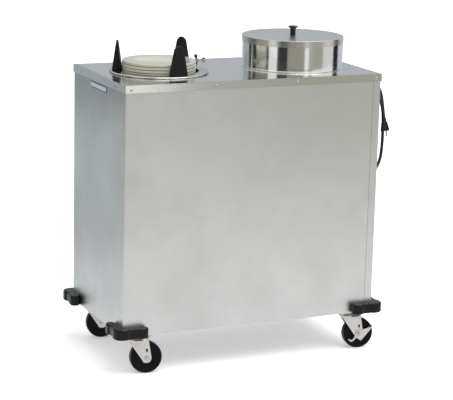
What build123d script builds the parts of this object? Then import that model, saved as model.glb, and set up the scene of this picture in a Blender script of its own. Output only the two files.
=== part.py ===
"""Heated plate dispenser cart with two self-levelling wells.

A stainless cabinet on four swivel casters. Each well holds a sprung carriage that keeps the top
plate of its stack level with the ring. The left well carries a short stack of plates, the right
one is closed by a lift-off lid. The mains lead hangs coiled on a hook on the right side.

Frame: millimetres, +Z up, +X along the length to the lid end, -Y towards the front.
The origin is on the floor, under the middle of the cabinet.
"""
from math import acos, atan2, cos, hypot, pi, radians, sin, tan
import os

from build123d import *

# ---------------------------------------------------------------- cabinet
cap_length = 880.0
cap_depth = 460.0
cap_top = 914.0            # working height
cap_flange = 24.0
cap_sheet = 1.5
cap_gap = 1.5              # between the cap's flange and the panels under it
cabinet_bottom = 127.0     # the casters' overall height
panel_sheet = 1.2
bend_radius = 2.0
seam_inset = 27.0          # the return of one wrap meets the other this far from the corner
seam_gap = 0.8
pan_sheet = 1.5
pan_flange = 20.0
post_leg = 25.0
post_sheet = 1.5
running_gap = 0.3          # between parts that move past each other

# ---------------------------------------------------------------- dispenser wells
well_spacing = 468.0
well_back = 5.0            # the wells' line lies this far behind the middle
opening_radius = 125.0
ring_radius = 158.0
ring_height = 6.0
collar_sheet = 1.5
collar_depth = 13.3        # the collar is also the carriage's upper stop
collar_play = 0.5
channel_width = 30.0
channel_depth = 27.0
channel_sheet = 1.5
channel_standoff = 2.5     # from the opening's edge to the channel's lips
spring_tab_drop = 26.0     # from the cap's sheet down to the tab that holds the spring
spring_tab_thick = 3.0
spring_radius = 6.0
spring_sides = 8
platform_play = 17.0       # between the platform's edge and the opening
platform_sheet = 3.0
guide_arm_reach = 8.5      # how far the upper arms reach into the channels
carriage_depth = 180.0     # from the platform down to the spring arms
leg_width = 20.0
leg_thick = 4.0
leg_inset = 8.0
spring_arm_thick = 4.0
heater_length = 200.0
heater_width = 38.0
heater_thick = 9.0
heater_height = 22.0
heater_foot = 12.0
terminal_radius = 3.5
terminal_height = 10.0

# ---------------------------------------------------------------- plate guides
guide_turn = 5.0           # the three guides are turned this much from the cabinet's axes
guide_height = 92.0
guide_base_width = 52.0
guide_top_radius = 15.0
guide_base_thick = 30.0
guide_top_thick = 6.0
guide_top_lean = 12.0        # both faces slope, so the tip stands this far outside the foot
guide_inset = 8.0          # how far the guides stand in over the opening
guide_tongue_width = 30.0
guide_tongue_drop = 14.0

# ---------------------------------------------------------------- plates
plate_count = 4
plate_play = 1.0           # between the plates and the guides
plate_foot_radius = 66.0
plate_well_radius = 74.0
plate_pitch = 10.0
plate_height = 22.0
plate_rim = 4.5
plate_sides = 48           # each plate is a faceted dish, near enough to round

# ---------------------------------------------------------------- lid
lid_radius = 164.2
lid_height = 101.6
lid_sheet = 1.2
lid_rim = 21.0
lid_fit = 0.05
knob_height = 30.0
knob_radius = 16.2
knob_neck = 8.0
knob_head = 6.0

# ---------------------------------------------------------------- controls
controls_inset = 26.0      # from the cap's rear edge
toggle_x = -17.0
pilot_x = 7.0
bushing_radius = 6.0
bushing_play = 0.2
bushing_height = 5.0
bushing_depth = 2.0        # of its cup, below the cap's top
cup_play = 0.6
switch_width = 15.0
switch_length = 28.0
switch_depth = 26.0
toggle_lean = 16.0
toggle_length = 21.0
toggle_stem = 2.2
toggle_tip = 4.6
round_sides = 12           # of the small round pieces
pilot_bezel_radius = 7.5
pilot_bezel_height = 2.5
pilot_barrel_radius = 6.0
pilot_barrel_depth = 24.0
lens_radius = 4.8
lens_height = 5.0

# ---------------------------------------------------------------- casters and bumpers
wheel_radius = 50.8
wheel_width = 31.75
wheel_sides = 48           # faceted, with a flat on the floor
axle_radius = 4.75
axle_play = 0.05
axle_inset_x = 64.0        # swivel axes from the cap's edges
axle_inset_y = 32.0
trail = 26.0
trail_turn = -9.0          # the wheels trail this way, from +X
caster_plate_length = 92.0
caster_plate_width = 52.0
caster_plate_thick = 3.0
backing_thick = 3.0
raceway_radius = 24.0
raceway_height = 4.0
crown_radius = 37.5
crown_height = 11.7
crown_sides = 24
fork_gap = 36.0
fork_sheet = 2.5
eye_radius = 15.0
fork_slot_width = 6.0
fork_slot_height = 12.0
fork_slot_rise = 26.0
bolt_head = 6.0
bolt_head_radius = 8.0
brake_sheet = 2.5
brake_hub = 14.0
brake_reach = 43.0
brake_rise = 20.0
brake_arm_radius = 6.0
brake_pedal_width = 14.0
brake_pedal_length = 12.0
hook_outer = 38.0
hook_inner = 30.0
bumper_height = 33.0
bumper_reach = 32.0        # how far the bumpers stand out from the panels
bumper_lobe = 16.0
bumper_corner = 22.0
bumper_arm = 62.0          # from the corner to the middle of each end lobe
bumper_waist = 27.0
bumper_bevel = 6.0
lobe_sides = 16

# ---------------------------------------------------------------- mains lead
cord_diameter = 10.0
cord_sides = 6
cord_off_panel = 18.0
coil_off_front = 126.0     # the lower turns are struck this far behind the front panel
coil_drop = 160.0          # and the upper half turns this far below the cap's top
coil_side_run = 72.0       # straight runs between the lower and the upper half turns
coil_radius = 110.0        # of the innermost quarter turn
coil_step = 5.4            # growth of the radius each half turn
coil_entry_radius = 65.0
lead_drop = 45.0
tail_steps = [(0.0, -22.0, 0.0), (6.0, -43.6, -8.7), (13.5, -59.1, -25.2),   # from the coil's end
              (18.0, -67.1, -47.2), (20.0, -75.1, -84.2), (20.5, -83.6, -118.2)]
hook_width = 24.0
hook_sheet = 3.0
hook_plate_height = 34.0
hook_lip = 26.0
gland_radius = 9.0
gland_flange_radius = 14.0
gland_flange_thick = 4.0
gland_stub_radius = 8.0
gland_stub_length = 12.0
gland_nut_radius = 13.0
gland_nut_thick = 5.0
relief_length = 28.0
relief_end_radius = 6.2
elbow_rise = 15.0
box_width = 60.0
box_height = 100.0
box_depth = 45.0
box_sheet = 1.2
plug_neck_radius = 8.0
plug_neck_length = 13.0
plug_length = 29.0
plug_width = 27.0
plug_thick = 22.0
plug_shoulder_width = 18.0
plug_shoulder_thick = 16.0
blade_width = 6.3
blade_thick = 1.5
blade_length = 18.0
blade_spacing = 12.7
blade_offset = -5.0
ground_radius = 2.4
ground_offset = 6.9

# ---------------------------------------------------------------- worked out from the above
body_length = cap_length - 2 * (cap_sheet + cap_gap)
body_depth = cap_depth - 2 * (cap_sheet + cap_gap)
side_x = body_length / 2
front_y = -body_depth / 2
cap_under = cap_top - cap_sheet
pan_floor = cabinet_bottom + pan_sheet
ring_top = cap_top + ring_height
collar_radius = opening_radius + collar_sheet
collar_bottom = cap_top - collar_depth
platform_top = collar_bottom - running_gap
platform_radius = opening_radius - platform_play
spring_arm_top = platform_top - platform_sheet - carriage_depth
channel_inner = opening_radius + channel_standoff
channel_outer = channel_inner + channel_depth
arm_width = channel_width - 2 * channel_sheet - 2 * running_gap
spring_orbit = channel_outer - channel_sheet - spring_radius - 2.0
spring_tab_bottom = cap_under - spring_tab_drop
guide_inner = opening_radius - guide_inset
plate_radius = guide_inner - plate_play
well_axes = {"left": -well_spacing / 2, "right": well_spacing / 2}
guide_angles = [150.0 + guide_turn, -90.0 + guide_turn, 30.0 + guide_turn]
column_angles = [angle + 60.0 for angle in guide_angles]
controls_y = cap_depth / 2 - controls_inset
swivel_x = cap_length / 2 - axle_inset_x
swivel_y = cap_depth / 2 - axle_inset_y
caster_plate_bottom = cabinet_bottom - caster_plate_thick
crown_top = caster_plate_bottom - raceway_height - running_gap
crown_bottom = crown_top - crown_height
caster_places = {
    "front_left": (-swivel_x, -swivel_y), "front_right": (swivel_x, -swivel_y),
    "rear_left": (-swivel_x, swivel_y), "rear_right": (swivel_x, swivel_y),
}
braked_casters = ("front_right", "rear_right")
cord_radius = cord_diameter / 2
cord_x = side_x + cord_off_panel
coil_radii = [coil_radius + turn * coil_step for turn in range(4)]
coil_y = front_y + coil_off_front
coil_front_y = coil_y - coil_step
coil_high = cap_top - coil_drop
coil_low = coil_high - coil_side_run

parts = {}


def block(x0, x1, y0, y1, z0, z1):
    """A box between two corners."""
    return Pos((x0 + x1) / 2, (y0 + y1) / 2, (z0 + z1) / 2) * Box(x1 - x0, y1 - y0, z1 - z0)


def post(radius, z0, z1, x=0.0, y=0.0):
    """An upright cylinder between two heights."""
    return Pos(x, y, (z0 + z1) / 2) * Cylinder(radius, z1 - z0)


def prism(radius, sides, z0, z1, x=0.0, y=0.0):
    """An upright bar of a regular section between two heights."""
    return Pos(x, y, z0) * extrude(RegularPolygon(radius, sides), z1 - z0)


def rod(radius, y0, y1, x=0.0, z=0.0):
    """A cylinder that lies along Y."""
    return Pos(x, (y0 + y1) / 2, z) * Rot(90, 0, 0) * Cylinder(radius, y1 - y0)


def hexagon(radius, y0, y1, x=0.0, z=0.0):
    """A hexagonal head or nut whose axis lies along Y."""
    return Pos(x, y1, z) * Rot(90, 0, 0) * extrude(RegularPolygon(radius, 6), y1 - y0)


def spun(points, x=0.0, y=0.0):
    """A turned part from its (radius, height) outline."""
    outline = Plane.XZ * make_face(Polyline(*points, close=True))
    return Pos(x, y, 0) * revolve(outline, Axis.Z)


def skinned(rings):
    """A solid with flat facets between rings of as many points, closed by the end rings."""
    faces = [Face(Wire.make_polygon(rings[0])), Face(Wire.make_polygon(rings[-1]))]
    for low, high in zip(rings, rings[1:]):
        for i, point in enumerate(low):
            j = (i + 1) % len(low)
            faces.append(Face(Wire.make_polygon([point, low[j], high[j], high[i]])))
    return Solid(Shell(faces))


def tapered(sections, sides):
    """A faceted bar through its (height, radius) sections."""
    turns = [2 * pi * (i + 0.5) / sides for i in range(sides)]
    return skinned([[(radius * cos(t), radius * sin(t), z) for t in turns]
                    for z, radius in sections])


def at_corners(piece):
    """A piece made at the right rear corner, with its three mirror images."""
    across = mirror(piece, Plane.YZ)
    return Compound([piece, across, mirror(piece, Plane.XZ), mirror(across, Plane.XZ)])


def at_wells(piece):
    """A piece made round the Z axis, once in each well."""
    return [Pos(x, well_back, 0) * piece for x in well_axes.values()]


def around(angles, piece):
    """A piece made along +X, at each angle round the Z axis."""
    return [Rot(0, 0, angle) * piece for angle in angles]


# ---------------------------------------------------------------- cabinet parts
def top_cap():
    """The lid sheet of the cabinet, a shallow tray upside down with its well and control holes."""
    outer = block(-cap_length / 2, cap_length / 2, -cap_depth / 2, cap_depth / 2,
                  cap_top - cap_flange, cap_top)
    outer = fillet(outer.edges().filter_by(Axis.Z), bend_radius)
    inner = block(-cap_length / 2 + cap_sheet, cap_length / 2 - cap_sheet,
                  -cap_depth / 2 + cap_sheet, cap_depth / 2 - cap_sheet,
                  cap_top - cap_flange, cap_under)
    cap = outer - inner
    for x in well_axes.values():
        cap -= post(collar_radius + collar_play, cap_under, cap_top, x, well_back)
    cap -= prism(bushing_radius + bushing_play, round_sides, cap_under, cap_top,
                 toggle_x, controls_y)
    return cap - prism(pilot_barrel_radius + bushing_play, round_sides, cap_under, cap_top,
                       pilot_x, controls_y)


def wrap_panel():
    """Front, left side and a short return on the back, bent from one sheet."""
    bends = FilletPolyline(
        (side_x - seam_inset, front_y), (-side_x, front_y),
        (-side_x, -front_y), (-side_x + seam_inset - seam_gap, -front_y),
        radius=bend_radius)
    outline = make_face(offset(bends, amount=panel_sheet, side=Side.RIGHT))
    return Pos(0, 0, cabinet_bottom) * extrude(outline, cap_under - cabinet_bottom)


def base_pan():
    """The floor of the cabinet with its edges turned up inside the panels."""
    x, y = side_x - panel_sheet, -front_y - panel_sheet
    pan = block(-x, x, -y, y, cabinet_bottom, cabinet_bottom + pan_flange)
    pan = chamfer(pan.edges().filter_by(Axis.Z), bend_radius)
    return pan - block(-x + pan_sheet, x - pan_sheet, -y + pan_sheet, y - pan_sheet,
                       pan_floor, cabinet_bottom + pan_flange)


def corner_posts():
    """Four angles that stand on the pan's flanges and carry the cap."""
    x, y = side_x - panel_sheet, -front_y - panel_sheet
    foot = cabinet_bottom + pan_flange
    angle = block(x - post_leg, x, y - post_leg, y, foot, cap_under)
    angle = chamfer(angle.edges().filter_by(Axis.Z).sort_by(Axis.X)[-2:].sort_by(Axis.Y)[-1],
                    bend_radius)
    angle -= block(x - post_leg, x - post_sheet, y - post_leg, y - post_sheet, foot, cap_under)
    return at_corners(angle)


def rounded(radius):
    """A lobe of a bumper, with flats out to its full radius along both axes."""
    return Rot(0, 0, 180 / lobe_sides) * RegularPolygon(radius, lobe_sides, major_radius=False)


def corner_bumpers():
    """Four bumpers that wrap the lower corners: two lobed arms and a round corner."""
    x, y = side_x, -front_y
    lobe = bumper_reach - bumper_lobe
    corner = bumper_reach - bumper_corner
    plan = Pos(x - bumper_arm, y + lobe) * rounded(bumper_lobe)
    plan += Pos(x + lobe, y - bumper_arm) * rounded(bumper_lobe)
    plan += Pos(x + corner, y + corner) * rounded(bumper_corner)
    plan += Pos(x + (corner - bumper_arm) / 2, y + bumper_waist / 2) * Rectangle(
        bumper_arm + corner, bumper_waist)
    plan += Pos(x + bumper_waist / 2, y + (corner - bumper_arm) / 2) * Rectangle(
        bumper_waist, bumper_arm + corner)
    body = Pos(0, 0, cabinet_bottom) * extrude(plan, bumper_height)
    body = chamfer(body.faces().sort_by(Axis.Z)[-1].edges(), bumper_bevel)
    return at_corners(body - block(0, x, 0, y, cabinet_bottom, cabinet_bottom + bumper_height))


# ---------------------------------------------------------------- well parts
def well_ring():
    """The ring round a well, with the collar that drops through the cap."""
    return spun([
        (opening_radius, collar_bottom), (collar_radius, collar_bottom),
        (collar_radius, cap_top), (ring_radius, cap_top),
        (ring_radius, ring_top), (opening_radius, ring_top)])


def column():
    """A channel, open to the well, that guides an arm and holds a spring on its tab."""
    half = channel_width / 2
    channel = block(channel_inner, channel_outer, -half, half, pan_floor, cap_under)
    channel -= block(channel_inner, channel_outer - channel_sheet,
                     -half + channel_sheet, half - channel_sheet, pan_floor, cap_under)
    return channel + block(spring_orbit - spring_radius, channel_outer, -half, half,
                           spring_tab_bottom, spring_tab_bottom + spring_tab_thick)


def spring():
    """An extension spring, as the bar that its coils fill."""
    return prism(spring_radius, spring_sides, spring_arm_top, spring_tab_bottom, spring_orbit)


def carriage():
    """The platform, its legs and the spider whose arms run in the channels."""
    under = platform_top - platform_sheet
    leg_out = platform_radius - leg_inset
    body = prism(platform_radius, plate_sides, under, platform_top)
    arm = block(leg_out, channel_inner + guide_arm_reach, -arm_width / 2, arm_width / 2,
                under, platform_top)
    arm += block(leg_out - leg_thick, leg_out, -leg_width / 2, leg_width / 2,
                 spring_arm_top, under)
    arm += block(0, spring_orbit + spring_radius - 1.0, -arm_width / 2, arm_width / 2,
                 spring_arm_top - spring_arm_thick, spring_arm_top)
    for leg in around(column_angles, arm):
        body += leg
    return body


def heater():
    """A strip heater on two feet at the bottom of a well."""
    z = pan_floor + heater_height
    strip = block(-heater_length / 2, heater_length / 2, -heater_width / 2, heater_width / 2,
                  z, z + heater_thick)
    for side in (-1, 1):
        foot = side * (heater_length - heater_foot) / 2
        strip += block(foot - heater_foot / 2, foot + heater_foot / 2,
                       -heater_width / 2, heater_width / 2, pan_floor, z)
        strip += prism(terminal_radius, 6, z + heater_thick, z + heater_thick + terminal_height,
                       side * heater_length / 4)
    return strip


def guide():
    """A plate guide: a wedge with a round top, hooked into the opening by its tongue."""
    shoulder = guide_height - guide_top_radius
    face = make_face(Polyline(
        (-guide_base_width / 2, 0), (guide_base_width / 2, 0),
        (guide_top_radius, shoulder), (-guide_top_radius, shoulder), close=True))
    face += Pos(0, shoulder) * Circle(guide_top_radius)
    front = extrude(Plane.YZ * face, guide_base_thick)
    side = make_face(Polyline(
        (0, 0), (guide_base_thick, 0), (guide_top_lean + guide_top_thick, guide_height),
        (guide_top_lean, guide_height),
        close=True))
    wedge = front & extrude(Plane.XZ * side, guide_base_width, both=True)
    edge = ((opening_radius - running_gap) ** 2 - (guide_tongue_width / 2) ** 2) ** 0.5
    tongue = block(0, edge - guide_inner, -guide_tongue_width / 2, guide_tongue_width / 2,
                   -guide_tongue_drop, 0)
    return Pos(guide_inner, 0, ring_top) * (wedge + tongue)


def plate():
    """One plate: a foot, a spreading wall and a rim round a flat well."""
    return tapered([(0, plate_foot_radius), (plate_height - plate_rim, plate_radius),
                    (plate_height, plate_radius), (plate_pitch, plate_well_radius)], plate_sides)


def plate_stack():
    """The plates on the left carriage, each resting on the one below."""
    return Compound([Pos(well_axes["left"], well_back, platform_top + number * plate_pitch) * plate()
                     for number in range(plate_count)])


# ---------------------------------------------------------------- lid
lid_top_z = cap_top + lid_height


def lid_band():
    """The lid's wall, a rolled band."""
    return spun([
        (lid_radius - lid_sheet, cap_top), (lid_radius, cap_top),
        (lid_radius, lid_top_z - lid_sheet), (lid_radius - lid_sheet, lid_top_z - lid_sheet)],
        well_axes["right"], well_back)


def lid_top():
    """The lid's top, pressed over the band, with the knob riveted to its middle."""
    rim = lid_radius + lid_fit
    crown = lid_top_z + knob_height
    return spun([
        (0, lid_top_z - lid_sheet), (rim, lid_top_z - lid_sheet), (rim, lid_top_z - lid_rim),
        (rim + lid_sheet, lid_top_z - lid_rim), (rim + lid_sheet, lid_top_z),
        (knob_neck, lid_top_z), (knob_neck, crown - knob_head),
        (knob_radius, crown - knob_head), (knob_radius, crown), (0, crown)],
        well_axes["right"], well_back)


# ---------------------------------------------------------------- controls
def switch_body():
    """The toggle switch's case under the cap and its bushing through it."""
    case = block(toggle_x - switch_length / 2, toggle_x + switch_length / 2,
                 controls_y - switch_width / 2, controls_y + switch_width / 2,
                 cap_under - switch_depth, cap_under)
    top = cap_top + bushing_height
    case += prism(bushing_radius, round_sides, cap_under, top, toggle_x, controls_y)
    return case - prism(toggle_tip + cup_play, round_sides, cap_top - bushing_depth, top,
                        toggle_x, controls_y)


def toggle_lever():
    """The bat lever, leaning to the off side, on its pivot in the bushing."""
    lever = tapered([(0, toggle_stem), (toggle_length * 0.35, toggle_stem),
                     (toggle_length * 0.8, toggle_tip), (toggle_length, toggle_tip * 0.7)],
                    round_sides)
    foot = cap_top - bushing_depth + toggle_stem * sin(radians(toggle_lean)) + running_gap
    return Pos(toggle_x, controls_y, foot) * Rot(0, -toggle_lean, 0) * lever


def pilot_bezel():
    """The pilot lamp's bezel and barrel."""
    bezel = prism(pilot_bezel_radius, round_sides, cap_top, cap_top + pilot_bezel_height,
                  pilot_x, controls_y)
    return bezel + prism(pilot_barrel_radius, round_sides, cap_top - pilot_barrel_depth, cap_top,
                         pilot_x, controls_y)


def pilot_lens():
    """The pilot lamp's lens."""
    lens = tapered([(0, lens_radius), (lens_height * 0.5, lens_radius * 0.9),
                    (lens_height, lens_radius * 0.5)], round_sides)
    return Pos(pilot_x, controls_y, cap_top + pilot_bezel_height) * lens


# ---------------------------------------------------------------- casters
def placed(shape, place):
    """A caster part turned to its trailing direction under its swivel axis."""
    return Pos(place[0], place[1], 0) * Rot(0, 0, trail_turn) * shape


def touch(px, pz, cx, cz, radius, side):
    """Where the line from a point touches a circle, on the side given as 1 or -1."""
    reach = hypot(px - cx, pz - cz)
    angle = atan2(pz - cz, px - cx) + side * acos(radius / reach)
    return (cx + radius * cos(angle), cz + radius * sin(angle))


def caster_plate():
    """The right rear caster's top plate with its raceway."""
    plate = block(swivel_x - caster_plate_length / 2, swivel_x + caster_plate_length / 2,
                  swivel_y - caster_plate_width / 2, swivel_y + caster_plate_width / 2,
                  caster_plate_bottom, cabinet_bottom)
    return plate + prism(raceway_radius, crown_sides, caster_plate_bottom - raceway_height,
                         caster_plate_bottom, swivel_x, swivel_y)


def backing_plate():
    """The plate inside the pan that the right rear caster is bolted through."""
    return block(swivel_x - caster_plate_length / 2, swivel_x + caster_plate_length / 2,
                 swivel_y - caster_plate_width / 2 + pan_sheet,
                 swivel_y + caster_plate_width / 2 - pan_sheet,
                 pan_floor, pan_floor + backing_thick)


def fork(braked):
    """A caster's fork: a round crown, two tapering legs and the axle bolt riveted in them."""
    inner = fork_gap / 2
    leg_outer = inner + fork_sheet
    foot = (crown_radius ** 2 - leg_outer ** 2) ** 0.5
    left = touch(-foot, crown_bottom, trail, wheel_radius, eye_radius, 1)
    right = touch(foot, crown_bottom, trail, wheel_radius, eye_radius, -1)
    outline = make_face(Polyline((-foot, crown_bottom), (foot, crown_bottom), right, left,
                                 close=True))
    outline += Pos(trail, wheel_radius) * Circle(eye_radius)
    outline -= Pos(trail, wheel_radius + fork_slot_rise) * Rectangle(
        fork_slot_width, fork_slot_height)
    leg = Pos(0, -inner, 0) * extrude(Plane.XZ * outline, fork_sheet)
    near = leg_outer + (brake_sheet + 2 * running_gap if braked else 0.0)
    frame = prism(crown_radius, crown_sides, crown_bottom, crown_top)
    frame += leg + mirror(leg, Plane.XZ)
    frame += rod(axle_radius, -near, leg_outer, trail, wheel_radius)
    frame += hexagon(bolt_head_radius, leg_outer, leg_outer + bolt_head, trail, wheel_radius)
    return frame + hexagon(bolt_head_radius, -near - bolt_head, -near, trail, wheel_radius)


def wheel():
    """A solid wheel, bored for the axle."""
    half = wheel_width / 2
    tread = Rot(0, 0, 180 / wheel_sides) * RegularPolygon(
        wheel_radius, wheel_sides, major_radius=False)
    disc = Pos(trail, half, wheel_radius) * Rot(90, 0, 0) * extrude(tread, wheel_width)
    return disc - rod(axle_radius + axle_play, -half, half, trail, wheel_radius)


def brake_lever():
    """The side brake's lever on the axle, with its pedal and its hooked locking arm."""
    outer = fork_gap / 2 + fork_sheet + running_gap
    slope = atan2(brake_rise, brake_reach)
    tip = (trail + brake_reach, wheel_radius + brake_rise)

    def beside(point, radius, turn):
        return (point[0] + radius * cos(slope + turn), point[1] + radius * sin(slope + turn))

    hub = (trail, wheel_radius)
    plan = Pos(*hub) * RegularPolygon(brake_hub, round_sides)
    plan += make_face(Polyline(
        beside(hub, brake_hub, pi / 2), beside(tip, brake_arm_radius, pi / 2),
        beside(tip, brake_arm_radius, -pi / 2), beside(hub, brake_hub, -pi / 2), close=True))
    plan += make_face(Polyline(*[
        (trail + reach * cos(radians(angle)), wheel_radius + reach * sin(radians(angle)))
        for reach, angle in ((brake_hub * 0.8, 170), (hook_outer, 200), (hook_outer, 215),
                             (hook_outer, 230), (hook_outer, 245), (hook_inner, 245),
                             (hook_inner, 225), (brake_hub * 0.8, 230))], close=True))
    plan -= Pos(*hub) * Circle(axle_radius + axle_play)
    lever = Pos(0, -outer, 0) * extrude(Plane.XZ * plan, brake_sheet)
    return lever + block(tip[0] - brake_pedal_length, tip[0], -outer - brake_pedal_width, -outer,
                         tip[1], tip[1] + brake_sheet)


# ---------------------------------------------------------------- mains lead
def cord_section(point, way):
    """The cord's section at a point, square to the way it runs."""
    return Plane(origin=point, x_dir=(1, 0, 0), z_dir=way) * RegularPolygon(cord_radius, cord_sides)


def coil_point(y, z, radius, angle):
    """A point of the arc struck round (y, z), at an angle that starts from +Y."""
    return (cord_x, y + radius * cos(radians(angle)), z + radius * sin(radians(angle)))


def coil_arcs():
    """The coil's arcs as (centre y, centre z, radius, start angle, end angle), seen from +X."""
    first, second, third, last = coil_radii
    return [
        (coil_y, coil_low - first + coil_entry_radius, coil_entry_radius, 180.0, 270.0),
        (coil_y, coil_low, first, -90.0, 0.0),
        (coil_front_y, coil_high, second, 0.0, 180.0),
        (coil_y, coil_low, third, 180.0, 360.0),
        (coil_front_y, coil_high, last, 0.0, 90.0)]


def coil_path():
    """The line of the coil, arcs of a quarter or half turn with straight runs at its sides."""
    edges = []
    for y, z, radius, start, end in coil_arcs():
        begin = coil_point(y, z, radius, start)
        if edges and (Vector(begin) - edges[-1] @ 1).length > 0.001:
            edges.append(Line(edges[-1] @ 1, begin))
        edges.append(ThreePointArc(begin, coil_point(y, z, radius, (start + end) / 2),
                                   coil_point(y, z, radius, end)))
    return Wire(edges)


def route_radii(route):
    """The arc at each inner point: 0.45 of the shorter run over the tangent of half the turn."""
    radii = []
    for before, here, after in zip(route, route[1:], route[2:]):
        run_in = Vector(here) - Vector(before)
        run_out = Vector(after) - Vector(here)
        shorter = min(run_in.length, run_out.length)
        radii.append(0.45 * shorter / tan(radians(run_in.get_angle(run_out)) / 2))
    return radii


coil_start = (cord_x, coil_y - coil_entry_radius, coil_low - coil_radius + coil_entry_radius)
coil_end = (cord_x, coil_front_y, coil_high + coil_radii[-1])
tail_points = [coil_end] + [tuple(a + b for a, b in zip(coil_end, step)) for step in tail_steps]
gland_y = coil_start[1]
gland_exit_z = coil_start[2] + lead_drop
gland_z = gland_exit_z + relief_length + elbow_rise


def cord_hook():
    """The hook on the side panel that the coil hangs on."""
    seat = coil_high + coil_radii[1] - cord_radius - running_gap
    reach = side_x + cord_off_panel + cord_radius + 1.0
    low, high = coil_front_y - hook_width / 2, coil_front_y + hook_width / 2
    hook = block(side_x, side_x + hook_sheet, low, high, seat - hook_plate_height, seat)
    hook += block(side_x, reach + hook_sheet, low, high, seat - hook_sheet, seat)
    return hook + block(reach, reach + hook_sheet, low, high, seat, seat + hook_lip)


def cord_gland():
    """The elbow gland: nut and stub in the panel, elbow and tapered strain relief."""
    inside = side_x - panel_sheet
    gland = tapered([(gland_exit_z, relief_end_radius), (gland_exit_z + relief_length, gland_radius),
                     (gland_z + gland_radius, gland_radius)], 8)
    gland = Pos(cord_x, gland_y, 0) * gland
    for radius, x0, x1 in ((gland_stub_radius, inside, side_x),
                           (gland_nut_radius, inside - gland_nut_thick, inside),
                           (gland_flange_radius, side_x, side_x + gland_flange_thick),
                           (gland_stub_radius, side_x, cord_x)):
        bar = extrude(RegularPolygon(radius, 8), x1 - x0)
        gland += Pos(x0, gland_y, gland_z) * Rot(0, 90, 0) * Rot(0, 0, 22.5) * bar
    return gland


def junction_box():
    """The box behind the gland, open towards the panel that it is fixed to."""
    inside = side_x - panel_sheet
    box = block(inside - box_depth, inside, gland_y - box_width / 2, gland_y + box_width / 2,
                gland_z - box_height / 2, gland_z + box_height / 2)
    return box - block(inside - box_depth + box_sheet, inside,
                       gland_y - box_width / 2 + box_sheet, gland_y + box_width / 2 - box_sheet,
                       gland_z - box_height / 2 + box_sheet, gland_z + box_height / 2 - box_sheet)


def cord_lead():
    """The straight drop from the gland to the coil."""
    return extrude(cord_section(coil_start, (0, 0, 1)), lead_drop)


def cord_coil():
    """One and three quarter turns of cord, as one tube."""
    return sweep(cord_section(coil_start, (0, 0, -1)), path=coil_path())


def tail_path():
    """The line from the coil to the plug, straight runs joined by tangent arcs."""
    return FilletPolyline(*tail_points, radius=route_radii(tail_points))


def cord_tail():
    """The stretch of cord that hangs in front of the coil and ends in the plug."""
    return sweep(cord_section(coil_end, (0, -1, 0)), path=tail_path())


def plug_plane(along):
    """A plane across the plug, this far along it from the end of the cord."""
    end, before = Vector(tail_points[-1]), Vector(tail_points[-2])
    way = (end - before).normalized()
    return Plane(origin=end + way * along, x_dir=(1, 0, 0), z_dir=way)


def plug_body():
    """The moulded plug: a round neck and a body that widens to its face."""
    neck = extrude(plug_plane(0) * RegularPolygon(plug_neck_radius, round_sides), plug_neck_length)
    body = skinned([
        [plane.from_local_coords((i * width / 2, j * thick / 2))
         for i, j in ((1, 1), (-1, 1), (-1, -1), (1, -1))]
        for plane, width, thick in (
            (plug_plane(plug_neck_length), plug_shoulder_width, plug_shoulder_thick),
            (plug_plane(plug_neck_length + plug_length), plug_width, plug_thick))])
    return neck + body


def plug_blades():
    """Two flat blades and a round ground pin."""
    plane = plug_plane(plug_neck_length + plug_length)
    pins = [Pos(side * blade_spacing / 2, blade_offset) * Rectangle(blade_thick, blade_width)
            for side in (-1, 1)]
    pins.append(Pos(0, ground_offset) * RegularPolygon(ground_radius, round_sides))
    return Compound([extrude(plane * pin, blade_length) for pin in pins])


# ---------------------------------------------------------------- build
def build():
    """Make every part under its own name."""
    hole = Pos(side_x, gland_y, gland_z) * Rot(0, 90, 0) * Cylinder(
        gland_stub_radius + bushing_play, 4 * panel_sheet)
    parts["top_cap"] = top_cap()
    parts["front_wrap_panel"] = wrap_panel()
    parts["rear_wrap_panel"] = Rot(0, 0, 180) * wrap_panel() - hole
    parts["base_pan"] = base_pan()
    parts["corner_posts"] = corner_posts()
    parts["corner_bumpers"] = corner_bumpers()
    parts["caster_top_plates"] = at_corners(caster_plate())
    parts["caster_backing_plates"] = at_corners(backing_plate())
    parts["well_rings"] = Compound(at_wells(well_ring()))
    parts["well_heaters"] = Compound(at_wells(heater()))
    parts["spring_columns"] = Compound(
        [c for piece in around(column_angles, column()) for c in at_wells(piece)])
    parts["plate_guides"] = Compound(
        [c for piece in around(guide_angles, guide()) for c in at_wells(piece)])
    for (side, x), body in zip(well_axes.items(), at_wells(carriage())):
        parts[f"{side}_carriage"] = body
        parts[f"{side}_springs"] = Compound(
            [Pos(x, well_back, 0) * piece for piece in around(column_angles, spring())])
    parts["plate_stack"] = plate_stack()
    parts["lid_band"] = lid_band()
    parts["lid_top"] = lid_top()
    parts["toggle_switch_body"] = switch_body()
    parts["toggle_lever"] = toggle_lever()
    parts["pilot_lamp_bezel"] = pilot_bezel()
    parts["pilot_lamp_lens"] = pilot_lens()
    for name, place in caster_places.items():
        braked = name in braked_casters
        parts[f"{name}_fork"] = placed(fork(braked), place)
        parts[f"{name}_wheel"] = placed(wheel(), place)
        if braked:
            parts[f"{name}_brake_lever"] = placed(brake_lever(), place)
    parts["cord_hook"] = cord_hook()
    parts["cord_gland"] = cord_gland()
    parts["junction_box"] = junction_box()
    parts["cord_lead"] = cord_lead()
    parts["cord_coil"] = cord_coil()
    parts["cord_tail"] = cord_tail()
    parts["plug_body"] = plug_body()
    parts["plug_blades"] = plug_blades()


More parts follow.
